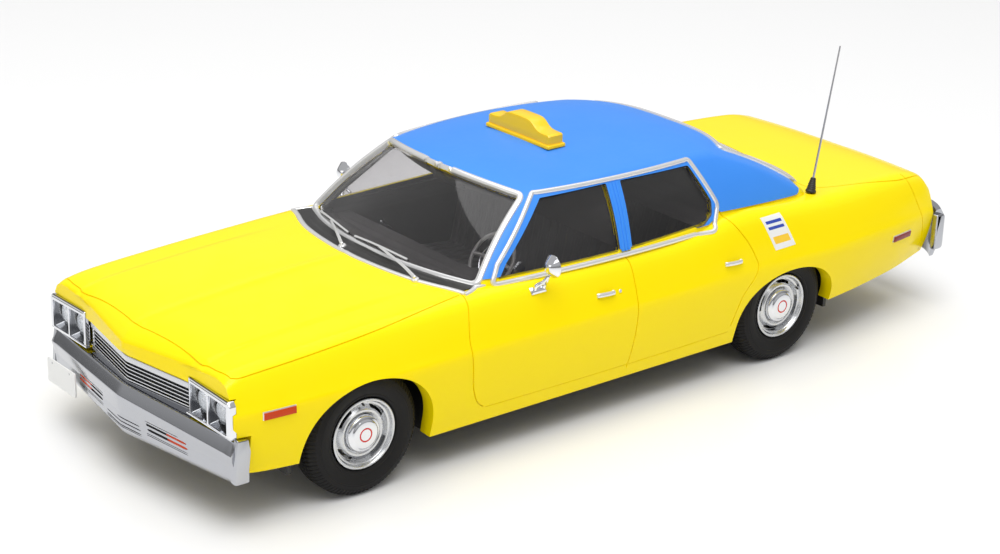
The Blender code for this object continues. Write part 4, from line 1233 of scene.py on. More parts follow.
def makeTrims():
    for name, edge, levels, side in (
        ("windscreenTrim", frontEdge, house["screenLevels"], house["screenSide"]),
        ("rearScreenTrim", rearEdge, house["rearLevels"], house["rearSide"]),
    ):
        loop = screenLoop(edge, levels, side, trims["screenOut"])
        profile = halfRound(trims["screenWidth"], trims["screenHeight"], 0.9, power=0.6)
        trim = sweepOn(name, loop, profile, "trimWhite", closed=True)
        piece(trim, slot="chrome")
    for hand, tag in hands:
        outline = resample(rounded(trims["beltLoop"], trims["beltRound"], 6), 1.1, True)
        found = [onSide(p.x, p.y, hand, (vinylSkin, lowerSkin)) for p in outline]
        profile = halfRound(trims["dripWidth"], trims["dripHeight"], 0.6)
        trim = sweepOn("dripTrim" + tag, found, profile, "trimWhite", closed=True)
        piece(trim, slot="chrome")
        path = resample([(-65.0, 52.7), (-59.0, 53.0), (-54.0, 53.0)], 1.0)
        found = [onSide(p.x, p.y, hand, (lowerSkin,)) for p in path]
        trim = sweepOn("fenderTrim" + tag, found, profile, "trimWhite")
        piece(trim, slot="chrome")
    half = trims["cowlEdge"]
    path = catmull([(x, y, 0) for x, y in half] + [(x, -y, 0) for x, y in half[-2::-1]], 8)
    found = [onTop(p.x, p.y) for p in path]
    profile = halfRound(trims["cowlWidth"], trims["cowlHeight"], 0.4, power=0.7)
    strip = sweepOn("cowlTrim", found, profile, "trimWhite")
    piece(strip, slot="chrome")
    print("trims laid")


def makeCowl():
    # the black vent panel between the bonnet and the glass
    edge = curveThrough(sorted((y, x) for x, y in trims["cowlEdge"]))
    rows = []
    for y in spread(-43.5, 43.5, 61):
        front = edge(abs(y)) + 0.4
        back = frontEdge(min(abs(y) / 43.8, 1.0), 0.03).x + 0.6
        row = []
        for t in spread(0, 1, 15):
            place, normal = onTop(lerp(front, max(back, front + 1.0), t), y)
            slot = 0.14 * max(0.0, math.sin(t * math.pi * 6)) if abs(y) < 34 else 0.0
            row.append((place + normal * (0.32 - slot), normal))
        rows.append(row)
    piece(slab("cowlPanel", rows, 0.6, "blackGloss"), slot="black_plastic")


def makePosts():
    # centre posts: three fine blue ribs between the side windows
    for hand, tag in hands:
        ribs = []
        for k, off in enumerate((-1.25, 0.0, 1.25)):
            path = [(lerp(-2.8, -1.6, t) + off, lerp(54.2, 73.9, t)) for t in spread(0, 1, 18)]
            found = [onSide(x, z, hand, (vinylSkin,)) for x, z in path]
            profile = halfRound(1.0, 0.22, 0.3, power=0.5)
            ribs.append(sweepOn(f"postRib{k}", found, profile, "blueVinyl"))
        piece(joinPieces("centrePost" + tag, ribs))


def makeArchLips():
    # the rolled inner edges of the wheel openings
    for index, (axleX, top) in enumerate(arches):
        for hand, tag in hands:
            outline = archOutline(axleX, top, floor=10.0)
            outline = [Vector((p.x, max(p.y, curves["bottomZ"](p.x) + 0.2))) for p in outline]
            rows = []
            for i, p in enumerate(outline):
                before, after = outline[max(i - 1, 0)], outline[min(i + 1, len(outline) - 1)]
                along = (after - before).normalized()
                inward = Vector((along.y, 0, -along.x))
                centre = Vector((axleX - p.x, 0, 16 - p.y))
                if inward.dot(centre) < 0:
                    inward = -inward
                found = onSide(p.x, max(p.y, 14.0), hand, (lowerSkin,))
                y = abs(found[0].y) if found else 50.0
                row = []
                for t in spread(0, 1, 5):
                    place = Vector((p.x, hand * (y - 0.35 - 4.6 * t), p.y))
                    row.append((place + inward * 0.15 * math.sin(math.pi * t), inward))
                rows.append(row)
            lip = slab(f"archLip{('Front', 'Rear')[index]}{tag}", rows, 0.9, "yellowPaint")
            piece(lip, slot="yellow_paint")
    print("openings finished")


def paneMesh(name, outline, step, project, material):
    # a flat outline diced into small squares, laid on the body's surface and given a thickness
    maker = bmesh.new()
    maker.faces.new([maker.verts.new((p.x, p.y, 0)) for p in outline])
    for axis in (0, 1):
        low, high = min(p[axis] for p in outline), max(p[axis] for p in outline)
        for k in range(1, int((high - low) / step) + 1):
            place = [0, 0, 0]
            place[axis] = low + k * step
            normal = [1 - axis, axis, 0]
            everything = maker.verts[:] + maker.edges[:] + maker.faces[:]
            bmesh.ops.bisect_plane(maker, geom=everything, plane_co=place, plane_no=normal, dist=1e-5)
    maker.verts.index_update()
    laid = [project(v.co.x, v.co.y) for v in maker.verts]
    count = len(laid)
    verts = [p - n * 0.45 for p, n in laid] + [p - n * (0.45 + glassThick) for p, n in laid]
    faces = []
    for face in maker.faces:
        ring = [v.index for v in face.verts]
        faces += [ring, [count + i for i in ring[::-1]]]
    for edge in maker.edges:
        if len(edge.link_faces) == 1:
            a, b = (v.index for v in edge.verts)
            faces.append([a, b, count + b, count + a])
    maker.free()
    return newMesh(name, verts, faces, material)


def makeGlazing():
    def screenSpot(edge):
        def project(a, b):
            s = a / 40.0
            q = edge(min(abs(s), 1.0), b / 30.0)
            q.y = math.copysign(q.y, s)
            place, _, _, _ = houseSkin.tree.find_nearest(q * mm)
            return place / mm, houseSkin.nearest(place)[0]
        return project

    for node, edge, levels, side in (
        ("windscreen", frontEdge, house["screenLevels"], house["screenSide"]),
        ("rear_window", rearEdge, house["rearLevels"], house["rearSide"]),
    ):
        (low, high), wide = levels, side * 40.0
        flat = rectangle(-wide, low * 30, wide, high * 30)
        outline = rounded(shifted(flat, 0.06), 2.2, 8)
        words = node.split("_")
        title = words[0] + "".join(w.capitalize() for w in words[1:]) + "Pane"
        piece(
            paneMesh(title, outline, 2.0, screenSpot(edge), "windowGlass"), slot="clear_glass",
            replaces=node,
        )
    for hand, tag in hands:
        for door in ("front", "rear"):
            outline = rounded(shifted(house[door + "Window"], 0.06), house[door + "Round"], 6)
            def onHouse(x, z, hand=hand):
                return onSide(x, z, hand, (houseSkin,))

            pane = paneMesh(f"{door}DoorGlass{tag}Pane", outline, 2.0, onHouse, "windowGlass")
            piece(pane, slot="clear_glass", replaces=f"{door}_door_glass_{tag.lower()}")
    print("glazing laid")


# wheels: one corner is drawn round its own centre, facing -Y, then placed at each axle
wheel = {
    "radius": 19.6, "width": 11.4, "rim": 11.0, "face": 5.7, "blocks": 84, "slots": 4, "slotArc": 46.0,
    "slotTurn": 44.0,
    "capRadius": 5.75, "turned": {"front_left": 0, "front_right": 30, "rear_left": 62, "rear_right": 10},
}


def tyreMesh():
    r, face, rim = wheel["radius"], wheel["face"], wheel["rim"]
    side = [
        (rim + 0.25, face - 1.5), (rim + 0.7, face - 0.75), (12.3, face - 0.42), (12.6, face - 0.5),
        (13.4, face - 0.2),
        (14.6, face), (15.6, face - 0.02), (15.75, face - 0.14), (15.95, face - 0.14), (16.1, face - 0.1),
        (17.2, face - 0.5),
        (17.5, face - 0.52), (18.2, face - 1.1), (18.9, face - 1.65), (19.35, face - 2.15),
    ]
    tread = [
        (r - 0.06, face - 2.75), (r, 2.6), (r, 2.35), (r - 0.5, 2.2), (r - 0.5, 1.9), (r, 1.75), (r, 0.55),
        (r - 0.5, 0.4),
    ]
    half = side + tread
    profile = half + [(p, -a) for p, a in half[::-1]]
    profile += [(rim + 0.25, -face + 3.0), (rim + 0.25, face - 3.0)]
    first, last = len(side) - 4, len(side) + 2
    steps = wheel["blocks"] * 4
    count = len(profile)
    verts = []
    for k in range(steps):
        angle = math.tau * k / steps
        gap = k % 4 == 0
        for i, (radius, along) in enumerate(profile):
            mirrored = count - 3 - i
            outer = first <= i <= last or first <= mirrored <= last
            middle = abs(along) < 2.0 and radius > r - 0.1
            sink = 0.38 if (outer and gap) or (middle and k % 4 == 2) else 0.0
            rr = radius - sink
            verts.append((math.sin(angle) * rr, -along, math.cos(angle) * rr))
    faces = []
    for k in range(steps):
        here, ahead = k * count, (k + 1) % steps * count
        for i in range(count):
            j = (i + 1) % count
            faces.append((here + i, here + j, ahead + j, ahead + i))
    return newMesh("tyreDrawn", verts, faces, "tyreRubber", sharp=30)


def rimMesh():
    face, rim = wheel["face"], wheel["rim"]
    profile = [
        (1.45, face - 4.6), (1.45, face - 2.75), (4.6, face - 2.75), (5.9, face - 2.3), (6.6, face - 1.75),
        (7.2, face - 1.72),
        (7.9, face - 2.35), (8.5, face - 3.0), (8.85, face - 3.05), (9.05, face - 2.6), (9.15, face - 2.0),
        (9.35, face - 1.85),
        (9.75, face - 1.8), (9.95, face - 1.5), (10.1, face - 0.95), (10.3, face - 0.7),
        (10.75, face - 0.62), (10.98, face - 0.75),
        (rim + 0.02, face - 1.3), (rim, -face + 1.6), (10.3, -face + 1.4), (9.9, -face + 2.0),
        (9.7, face - 3.6),
        (8.8, face - 3.9), (7.0, face - 3.4), (4.4, face - 4.2), (3.4, face - 4.6),
    ]
    disc = turnedMesh("rimDrawn", profile, (0, 0, 0), (0, -1, 0), "satinSilver", 96, sharp=40)
    cutters = []
    for k in range(wheel["slots"]):
        centre = math.radians(wheel["slotTurn"] + 360 / wheel["slots"] * k)
        half = math.radians(wheel["slotArc"] / 2)
        outline = []
        for r, a, b in ((8.75, -half, half), (7.75, half * 0.86, -half * 0.86)):
            turns = [centre + t for t in spread(a, b, 12)]
            outline += [Vector((math.sin(t) * r, math.cos(t) * r)) for t in turns]
        cutters.append(prism("slotCut", rounded(outline, 0.3, 2), "Y", -face, face))
    cut(disc, cutters)
    repaint(disc, "satinSilver")
    disc.data.shade_smooth()
    disc.data.set_sharp_from_angle(angle=math.radians(32))
    return disc


def capMesh():
    face, r = wheel["face"], wheel["capRadius"]
    profile = [
        (0.0, face + 0.02), (1.75, face + 0.02), (1.8, face - 0.06), (2.2, face - 0.06),
        (2.25, face + 0.02), (3.9, face - 0.02), (4.3, face - 0.14),
        (4.5, face - 0.4), (4.75, face - 0.55), (5.2, face - 0.62), (5.5, face - 0.85), (r, face - 1.3),
        (r, face - 2.2), (0.0, face - 2.2),
    ]
    cap = turnedMesh("capDrawn", profile, (0, 0, 0), (0, -1, 0), "chrome", 72, sharp=40)
    ring = [(1.82, face - 0.1), (1.82, face + 0.05), (2.18, face + 0.05), (2.18, face - 0.1)]
    badge = turnedMesh("badgeRing", ring, (0, 0, 0), (0, -1, 0), "redInk", 48)
    return joinPieces("capDrawn", [cap, badge])


def valveMesh():
    path = [(0, -wheel["face"] + 2.2, 9.5), (0, -wheel["face"] + 1.3, 9.15), (0, -wheel["face"] + 0.9, 9.0)]
    return tube("valveDrawn", path, [0.34, 0.34, 0.26], "blackPlastic", 10)


def makeWheels():
    drawn = [
        (tyreMesh(), "tyre", "tyre_rubber"), (rimMesh(), "rim", "silver_wheel"),
        (capMesh(), "hubCap", "chrome"),
    ]
    drawn.append((valveMesh(), "valve", "black_plastic"))
    for end in ("front", "rear"):
        for hand, side in ((-1, "left"), (1, "right")):
            corner = f"{end}_{side}"
            place = mid("tyre_" + corner)
            turn = Matrix.Rotation(0 if hand < 0 else math.pi, 4, "Z")
            spin = Matrix.Rotation(math.radians(wheel["turned"][corner]), 4, "Y")
            for source, what, slot in drawn:
                made = source.copy()
                made.data = source.data.copy()
                made.name = what + end.capitalize() + side.capitalize()
                scene.collection.objects.link(made)
                made.data.transform(Matrix.Translation(place * mm) @ turn @ spin)
                node = {"tyre": "tyre_", "rim": "rim_", "hubCap": "hub_cap_"}.get(what)
                piece(made, corner + "_wheel", slot, node + corner if node else ())
    for source, what, slot in drawn:
        bpy.data.objects.remove(source, do_unlink=True)
    print("wheels fitted")


makeVinyl()
makeTrims()
makeCowl()
makePosts()
makeArchLips()
makeGlazing()
makeWheels()


# front and rear ends
def bar(name, section, stations, material, **options):
    # lofts closed (x, z) outlines across the car
    return loft(name, [[(p[0], y, p[1]) for p in section(y)] for y in stations], material, **options)


def patch(name, low, high, hand, out, thick, material, gap=0.6, soft=0.18, skins=(lowerSkin,)):
    # a small plate that follows the flank between two (x, z) corners
    rows = []
    for x in spread(low[0], high[0], max(3, int((high[0] - low[0]) / gap) + 1)):
        row = []
        for z in spread(low[1], high[1], max(3, int((high[1] - low[1]) / gap) + 1)):
            place, normal = onSide(x, z, hand, skins)
            edge = min(x - low[0], high[0] - x, z - low[1], high[1] - z)
            row.append((place + normal * (out - soft * (1 if edge < 1e-6 else 0)), normal))
        rows.append(row)
    return slab(name, rows, thick, material)


bumper = {
    "front": corners("front_bumper")[0].x, "vee": 6.0, "veeHalf": 47.0, "end": 51.0, "wrap": (50.2, 52.1),
    "wrapOutline": [
        (-150.2, 17.0), (-145.6, 17.3), (-144.6, 26.4), (-145.4, 30.3), (-148.9, 30.5), (-149.6, 26.2),
    ],
    "slotDepth": 0.55, "slotHeight": 0.34,
    "middleSlots": [(20.5, -9.0, 2.0), (19.3, -9.6, 9.6), (18.1, -9.8, 9.8), (17.6, -9.8, 9.8)],
    "sideSlots": [
        (23.4, 12.0, 27.0, 0.22), (22.4, 12.4, 30.4, 0.8), (20.9, 12.8, 30.8, 0.8), (19.6, 12.4, 30.8, 0.2),
        (19.1, 12.6, 31.0, 0.2),
    ],
    "stripes": [(22.4, 21.4, 30.2), (20.9, 21.8, 30.6)],
}


def bumperX(y):
    a = math.sqrt(y * y + 0.6) - math.sqrt(0.6)
    return bumper["front"] + 0.02 + bumper["vee"] * min(
        a / bumper["veeHalf"], 1.0,
    ) + 0.9 * max(0.0, (a - 47) / 5) ** 2


def bumperSection(y):
    share = min(abs(y) / 52, 1)
    x = bumperX(y)
    shelf, crease, low = 31.0 - 1.6 * share, 27.9 - 2.2 * share, 15.2 + 1.4 * share
    back = min(x + 6.0, -144.7)
    flat = [
        (back, shelf), (x + 2.0, shelf), (x, crease), (x + 0.9, 22.0), (x + 1.0, low + 1.6), (x + 2.0, low),
        (back, low),
    ]
    return rounded(flat, [0.3, 0.9, 0.8, 5.0, 1.2, 0.7, 0.3], 5)


def bumperFace(y, z):
    # how far forward the face stands at a height below the crease
    crease = 27.9 - 2.2 * min(abs(y) / 52, 1)
    return bumperX(y) + 0.9 * min(
        max((crease - z) / (crease - 22.0), 0.0), 1.0,
    ) + 0.1 * max(0.0, (22.0 - z) / 5)


def slotBar(name, z, low, high, height, front, back, material=None):
    rings = []
    for y in spread(low, high, max(4, int((high - low) / 1.2))):
        x = bumperFace(y, z)
        pinch = 0.5 if y in (low, high) else 1.0
        half = height / 2 * pinch
        near, far, foot, head = x + front, x + back, z - half, z + half
        rings.append([(near, y, foot), (near, y, head), (far, y, head), (far, y, foot)])
    return loft(name, rings, material)


def makeBumpers():
    end = bumper["end"]
    stations = spread(-end, -47, 7) + spread(-46, 46, 93) + spread(47, end, 7)
    face = bar("frontBumperBar", bumperSection, stations, None)
    wraps = []
    for hand in (-1, 1):
        outline = rounded(bumper["wrapOutline"], [0.9, 0.9, 0.9, 0.5, 0.5, 0.9], 4)
        rings = []
        for y, inset in (
            (bumper["wrap"][0], 0.0), (bumper["wrap"][1] - 0.45, 0.0), (bumper["wrap"][1] - 0.12, 0.12),
            (bumper["wrap"][1], 0.4),
        ):
            rings.append([(p.x, hand * y, p.y) for p in shifted(outline, inset)])
        wraps.append(loft("wrapEnd", rings))
    cut(face, wraps, "UNION")
    cutters = []
    for z, low, high in bumper["middleSlots"]:
        height = bumper["slotHeight"] * (0.6 if z < 18 else 1)
        cutters.append(slotBar("louvre", z, low, high, height, -1.0, bumper["slotDepth"]))
    for hand in (-1, 1):
        for z, low, high, height in bumper["sideSlots"]:
            a, b = sorted((hand * low, hand * high))
            cutters.append(slotBar("louvre", z, a, b, height, -1.0, bumper["slotDepth"]))
    cut(face, cutters)
    finishEdges(face, "bumperChromeShaded", 32)
    piece(face, slot="chrome", replaces="front_bumper")
    # black floors set into the louvre slots: painted shade for the dark inside the openings
    slotShades = []
    for z, low, high in bumper["middleSlots"]:
        slotShades.append(slotBar("louvreShadeFloor", z, low, high, 0.5, 0.5, 0.62, "blackGloss"))
    for hand, tag in hands:
        lenses = []
        for z, low, high, height in bumper["sideSlots"]:
            a, b = sorted((hand * low, hand * high))
            slotShades.append(slotBar("louvreShadeFloor", z, a, b, height + 0.2, 0.5, 0.62, "blackGloss"))
        for z, low, high in bumper["stripes"]:
            a, b = sorted((hand * low, hand * high))
            lenses.append(slotBar("turnLens", z, a, b, 0.78, 0.06, 0.48, "orangeLens"))
        piece(joinPieces("turnLamp" + tag, lenses), slot="amber_lens")
    piece(joinPieces("bumperLouvreShades", slotShades), slot="black_plastic")
    low, high = corners("rear_bumper")
    end = 48.3

    def rearSection(y):
        a = abs(y)
        x = high.x - 0.03 - 5.0 * max(0.0, (a - 36) / 12) ** 2 - 0.8 * (a / 48) ** 2
        flat = [
            (x - 5, 37.4), (x - 2.4, 37.6), (x - 0.4, 35.0), (x, 30.0), (x - 1.4, 26.0), (x - 4.4, 20.4),
            (x - 6.4, 20.4),
        ]
        return rounded(flat, [0.4, 0.9, 1.2, 1.6, 1.6, 0.6, 0.4], 5)

    back = bar("rearBumperBar", rearSection, spread(-end, end, 91), None)
    wraps = []
    for hand in (-1, 1):
        outline = rounded(rectangle(145.0, 23.0, 149.4, 36.0), [0.6, 1.6, 1.6, 0.6], 4)
        rings = []
        for y, inset in ((47.9, 0.0), (49.5, 0.0), (49.8, 0.15), (49.95, 0.5)):
            rings.append([(p.x, hand * y, p.y) for p in shifted(outline, inset)])
        wraps.append(loft("wrapEnd", rings))
    cut(back, wraps, "UNION")
    finishEdges(back, "bumperChromeShaded", 32)
    piece(back, slot="chrome", replaces="rear_bumper")
    print("bumpers built")


grille = {
    "front": corners("grille")[0].x, "sweep": 4.6, "half": 28.2, "bars": [36.45, 35.25, 34.05, 32.85],
    "header": (37.5, 39.55),
}


def makeGrille():
    half = grille["half"]

    def strip(name, low, high, front, back, material, soft=0.12, reach=half):
        def section(y):
            x = grille["front"] + grille["sweep"] * (math.sqrt(y * y + 0.4) - 0.63) / 28
            flat = [(x + front, low), (x + front, high), (x + back, high), (x + back, low)]
            return rounded(flat, soft, 3)
        return bar(name, section, spread(-reach, reach, 57), material)

    parts = [strip("grilleBack", 31.85, 39.4, 2.0, 2.6, "blackGloss")]
    parts.append(strip("grilleHeader", *grille["header"], 0.0, 2.2, "satinSilver", 0.3))
    for z in grille["bars"]:
        parts.append(strip("grilleBar", z - 0.17, z + 0.17, 0.35, 2.2, "chrome", 0.1))
    parts.append(strip("grilleSill", 31.82, 32.25, 0.0, 2.2, "chrome", 0.12))
    parts.append(strip("grilleLine", 31.35, 31.85, 0.5, 2.2, "blackGloss", 0.1))
    parts.append(strip("grilleFoot", 30.0, 31.4, 0.15, 2.6, "bumperChromeShaded", 0.2))
    for hand in (-1, 1):
        x = grille["front"] + grille["sweep"]
        flat = rectangle(x + 0.3, hand * (half - 0.9), x + 2.4, hand * (half - 0.1))
        parts.append(prism("grilleSide", rounded(flat, 0.15, 3), "Z", 31.9, 39.5, "chrome"))
    piece(joinPieces("grilleBars", parts), slot="chrome", replaces="grille")
    # a black strip set back in the gap under the bonnet's lip, painted shade for the dark of the gap, with
    # a thin yellow strip along it
    gap = [
        strip("lipGapShade", 39.6, 41.2, 1.3, 2.4, "blackGloss"),
        strip("lipLine", 39.58, 39.8, 0.5, 1.6, "yellowPaint", 0.05),
    ]
    piece(joinPieces("bonnetGapShade", gap), slot="black_plastic")


bezel = {
    "outline": bezelEdge, "round": [0.5, 0.5, 1.0, 1.0, 0.7],
    "front": -150.58, "rear": -148.5, "cells": ((30.1, 38.9), (39.6, 48.9)), "base": 31.6,
    "top": (40.9, 40.5),
}


def makeBezels():
    for hand, tag in ((-1, "left"), (1, "right")):
        outline = rounded(bezel["outline"], bezel["round"], 5)
        rings = []
        for x, inset in (
            (bezel["rear"], 0.0), (bezel["front"] + 0.45, 0.0), (bezel["front"] + 0.12, 0.12),
            (bezel["front"], 0.4),
        ):
            rings.append([(x, hand * p.x, p.y) for p in shifted(outline, inset)])
        surround = loft("bezelFrame", rings)
        flat = rectangle(29.4, 31.4, 49.3, 41.9)
        rings = [[(x, hand * p.x, p.y) for p in rounded(flat, 0.5, 3)] for x in (-149.4, -145.52)]
        cut(surround, [loft("bezelBacking", rings)], "UNION")
        cutters = []
        for k, (a, b) in enumerate(bezel["cells"]):
            top = bezel["top"][k]
            cell = [(a, bezel["base"]), (b, bezel["base"] - 0.15), (b, top - 0.35), (a, top)]
            rings = []
            for x, inset in ((-153, 0), (-149.9, 0.0), (-146.3, 1.5)):
                rings.append([(x, hand * p.x, p.y) for p in rounded(shifted(cell, inset), 0.35, 3)])
            cutters.append(loft("lampPocket", rings))
        # a shallow groove along the top of the bezel, made black: painted shade under the bonnet's edge
        inset = [(30.2, 41.52), (49.2, 41.02), (49.3, 41.3), (30.2, 41.8)]
        cutters.append(loft("shadeLine", [[(x, hand * y, z) for y, z in inset] for x in (-152, -150.2)]))
        cut(surround, cutters)
        repaint(surround, "chrome", "lampMirror", "blackGloss")
        for poly in surround.data.polygons:
            centre = poly.center / mm
            inside = any(a - 0.05 <= abs(centre.y) <= b + 0.05 for a, b in bezel["cells"])
            inside = inside and 31.3 < centre.z < 41.05
            facing = abs(poly.normal.x) < 0.999 or centre.x > -147
            if inside and facing and -149.95 < centre.x < -146:
                poly.material_index = 1
            # the groove's faces take the black, painted shade
            if centre.z > 40.9 and 30.1 < abs(centre.y) < 49.4 and -150.5 < centre.x < -150.1:
                poly.material_index = 2
        surround.data.set_sharp_from_angle(angle=math.radians(30))
        piece(surround, slot="chrome", replaces="headlamp_bezel_" + tag)
        for place in ("inner", "outer"):
            node = f"headlamp_{place}_{tag}"
            low, high = corners(node)
            centre = Vector((high.x, (low.y + high.y) / 2, (low.z + high.z) / 2))
            r = (high.z - low.z) / 2
            dome = [
                (0, 0), (r * 0.96, 0), (r, 0.12), (r, 0.5), (r * 0.95, 0.72), (r * 0.8, 0.98),
                (r * 0.6, 1.2), (r * 0.4, 1.34), (r * 0.2, 1.43), (0, 1.46),
            ]
            lens = turnedMesh(place + "Lens" + tag.capitalize(), dome, centre, (-1, 0, 0), "lampGlass", 64)
            for v in lens.data.vertices:
                depth = centre.x - v.co.x / mm
                if depth > 0.6:
                    v.co.x += 0.05 * mm * math.sin((v.co.y / mm - centre.y) * math.tau / 0.85)
            piece(lens, slot="clear_glass", replaces=node)
            bowl = [
                (0, -1.35), (r * 0.7, -1.35), (r * 1.07, -0.2), (r * 1.07, 0.3), (r * 1.02, 0.34),
                (r * 1.01, -0.06), (0, -0.06),
            ]
            rim = turnedMesh(place + "Bowl" + tag.capitalize(), bowl, centre, (-1, 0, 0), "lampMirror", 64)
            piece(rim, slot="chrome")
    # the bright line that runs on under grille and lamps
    for hand, tag in hands:
        path = []
        for y in spread(28.5, 50.4, 20):
            path.append(Vector((-149.5 + 0.03 * (y - 28.5), hand * y, 31.25 - 0.028 * (y - 28.5))))
        line = sweep(
            "bezelSill" + tag, path, [Vector((-1, 0, 0))] * len(path),
            [(-0.22, 0), (0.22, 0), (0.22, 1.35), (-0.22, 1.35)], "chrome",
        )
        piece(line, slot="chrome")
    print("lamps and grille built")


def makeTailLamps():
    for tag in ("left", "right"):
        node = "tail_lamp_" + tag
        low, high = corners(node)
        ends = spread(low.y + 0.02, high.y - 0.02, 57)

        def section(y, out=1.5, foot=38.7, top=43.9):
            x = tailX + noseSweep(tailX, y)
            fade = min(1.0, min(y - ends[0], ends[-1] - y) / 0.8 + 0.35)
            wave = 0.1 * math.sin(y * math.tau / 3.5)
            face = x + 0.1 + (out + wave) * fade
            flat = [(x + 0.3, foot), (face, foot + 0.4), (face, top - 0.4), (x + 0.3, top)]
            return rounded(flat, 0.3, 3)

        piece(bar("tailLens" + tag.capitalize(), section, ends, "redLens"), slot="red_lens", replaces=node)
        flat = rectangle(low.y, 38.35, high.y, 44.25)
        border = []
        for p, q in zip(flat, flat[1:] + flat[:1]):
            for t in spread(0, 1, 12)[:-1]:
                y = lerp(p[0], q[0], t)
                border.append(Vector((tailX + noseSweep(tailX, y) + 0.25, y, lerp(p[1], q[1], t))))
        rim = sweep(
            "tailRim" + tag.capitalize(), border, [Vector((1, 0, 0))] * len(border),
            halfRound(0.8, 0.7, 0.3, 6), "chrome", closed=True,
        )
        piece(rim, slot="chrome")


def makeMarkers():
    for end, lens, slot in (("front", "orangeLens", "amber_lens"), ("rear", "redLens", "red_lens")):
        for hand, tag in ((-1, "left"), (1, "right")):
            node = f"{end}_side_marker_{tag}"
            low, high = corners(node)
            a, b = (low.x + 0.05, low.z + 0.05), (high.x - 0.05, high.z - 0.05)
            piece(
                patch(end + "Marker" + tag.capitalize(), a, b, hand, 0.85, 0.8, lens, 0.7), slot=slot,
                replaces=node,
            )
            rim = patch(
                end + "MarkerRim" + tag.capitalize(), (a[0] - 0.3, a[1] - 0.1), (b[0] + 0.15, b[1] + 0.32),
                hand, 0.5, 0.75, "trimWhite", 0.8,
            )
            piece(rim, slot="chrome")


def makeHandles():
    for hand, tag in hands:
        for door, (x0, x1), z in (("front", (-18.4, -11.2), 43.9), ("rear", (36.2, 43.6), 42.5)):
            path, normals = [], []
            for t in spread(0, 1, 25):
                place, normal = onSide(lerp(x0, x1, t), z - 0.35 * t, hand, (lowerSkin,))
                path.append(place + normal * (0.15 + 0.75 * math.sin(math.pi * t) ** 0.45))
                normals.append(normal)
            grip = sweep("handleGrip", path, normals, halfRound(1.35, 0.42, 0.18, 8, 0.7), "trimWhite")
            parts = [grip]
            for x in (x0 + 0.55, x1 - 0.55):
                place, normal = onSide(x, z - 0.1, hand, (lowerSkin,))
                foot = [(0, -0.3), (0.62, -0.3), (0.62, 0.35), (0.4, 0.6), (0, 0.6)]
                parts.append(turnedMesh("handleFoot", foot, place, normal, "trimWhite", 24))
            if door == "front":
                place, normal = onSide(x1 + 2.3, z - 0.4, hand, (lowerSkin,))
                lock = [
                    (0, -0.2), (0.55, -0.2), (0.55, 0.22), (0.42, 0.32), (0.24, 0.32), (0.2, 0.2), (0, 0.2),
                ]
                parts.append(turnedMesh("doorLock", lock, place, normal, "trimWhite", 28))
            piece(joinPieces(door + "Handle" + tag, parts), slot="chrome")


def makeDoorMirrors():
    for hand, tag in ((-1, "left"), (1, "right")):
        node = "door_mirror_" + tag
        low, high = corners(node)
        r = 3.58
        centre = Vector((low.x + 2.82, hand * (max(abs(low.y), abs(high.y)) - 3.6), high.z - 3.6))
        shell = [
            (0, 0), (0.9, 0.04), (1.5, 0.35), (2.2, 1.0), (3.0, 1.9), (3.45, 2.45), (r, 2.6), (r, 2.82),
            (3.42, 2.9), (3.3, 2.7), (0, 2.7),
        ]
        head = turnedMesh("mirrorHead", shell, centre, (1, 0, 0), "chrome", 48)
        face = turnedMesh(
            "mirrorFace", [(0, 2.68), (3.24, 2.68), (3.24, 2.76), (0, 2.78)], centre, (1, 0, 0),
            "lampMirror", 48,
        )
        top = centre + Vector((1.5, -hand * 0.6, -3.1))
        parts = [head, face]
        for dx in (-1.2, 2.2):
            foot = onSide(-40.4 + dx, 50.2, hand, (lowerSkin,))[0]
            bend = foot.lerp(top, 0.6) + Vector((0, hand * 0.2, 0))
            path = catmull([foot, foot + Vector((0.1, hand * 0.9, 1.7)), bend, top], 5)
            parts.append(tube("mirrorLeg", path, spread(0.75, 0.5, len(path)), "chrome", 12))
        near, far = (-43.3, 49.15), (-37.5, 50.9)
        parts.append(patch("mirrorFoot", near, far, hand, 0.75, 0.7, "chrome", 0.4, 0.35))
        piece(joinPieces("doorMirror" + tag.capitalize(), parts), slot="chrome", replaces=node)
    print("handles, markers and mirrors fitted")


wipers = {
    "left": {"pivot": (-71.2, -29.6), "joint": (-0.14, 0.05), "blade": (-0.42, 0.17)},
    "right": {"pivot": (-73.4, 5.0), "joint": (0.53, 0.045), "blade": (0.26, 0.78)},
}


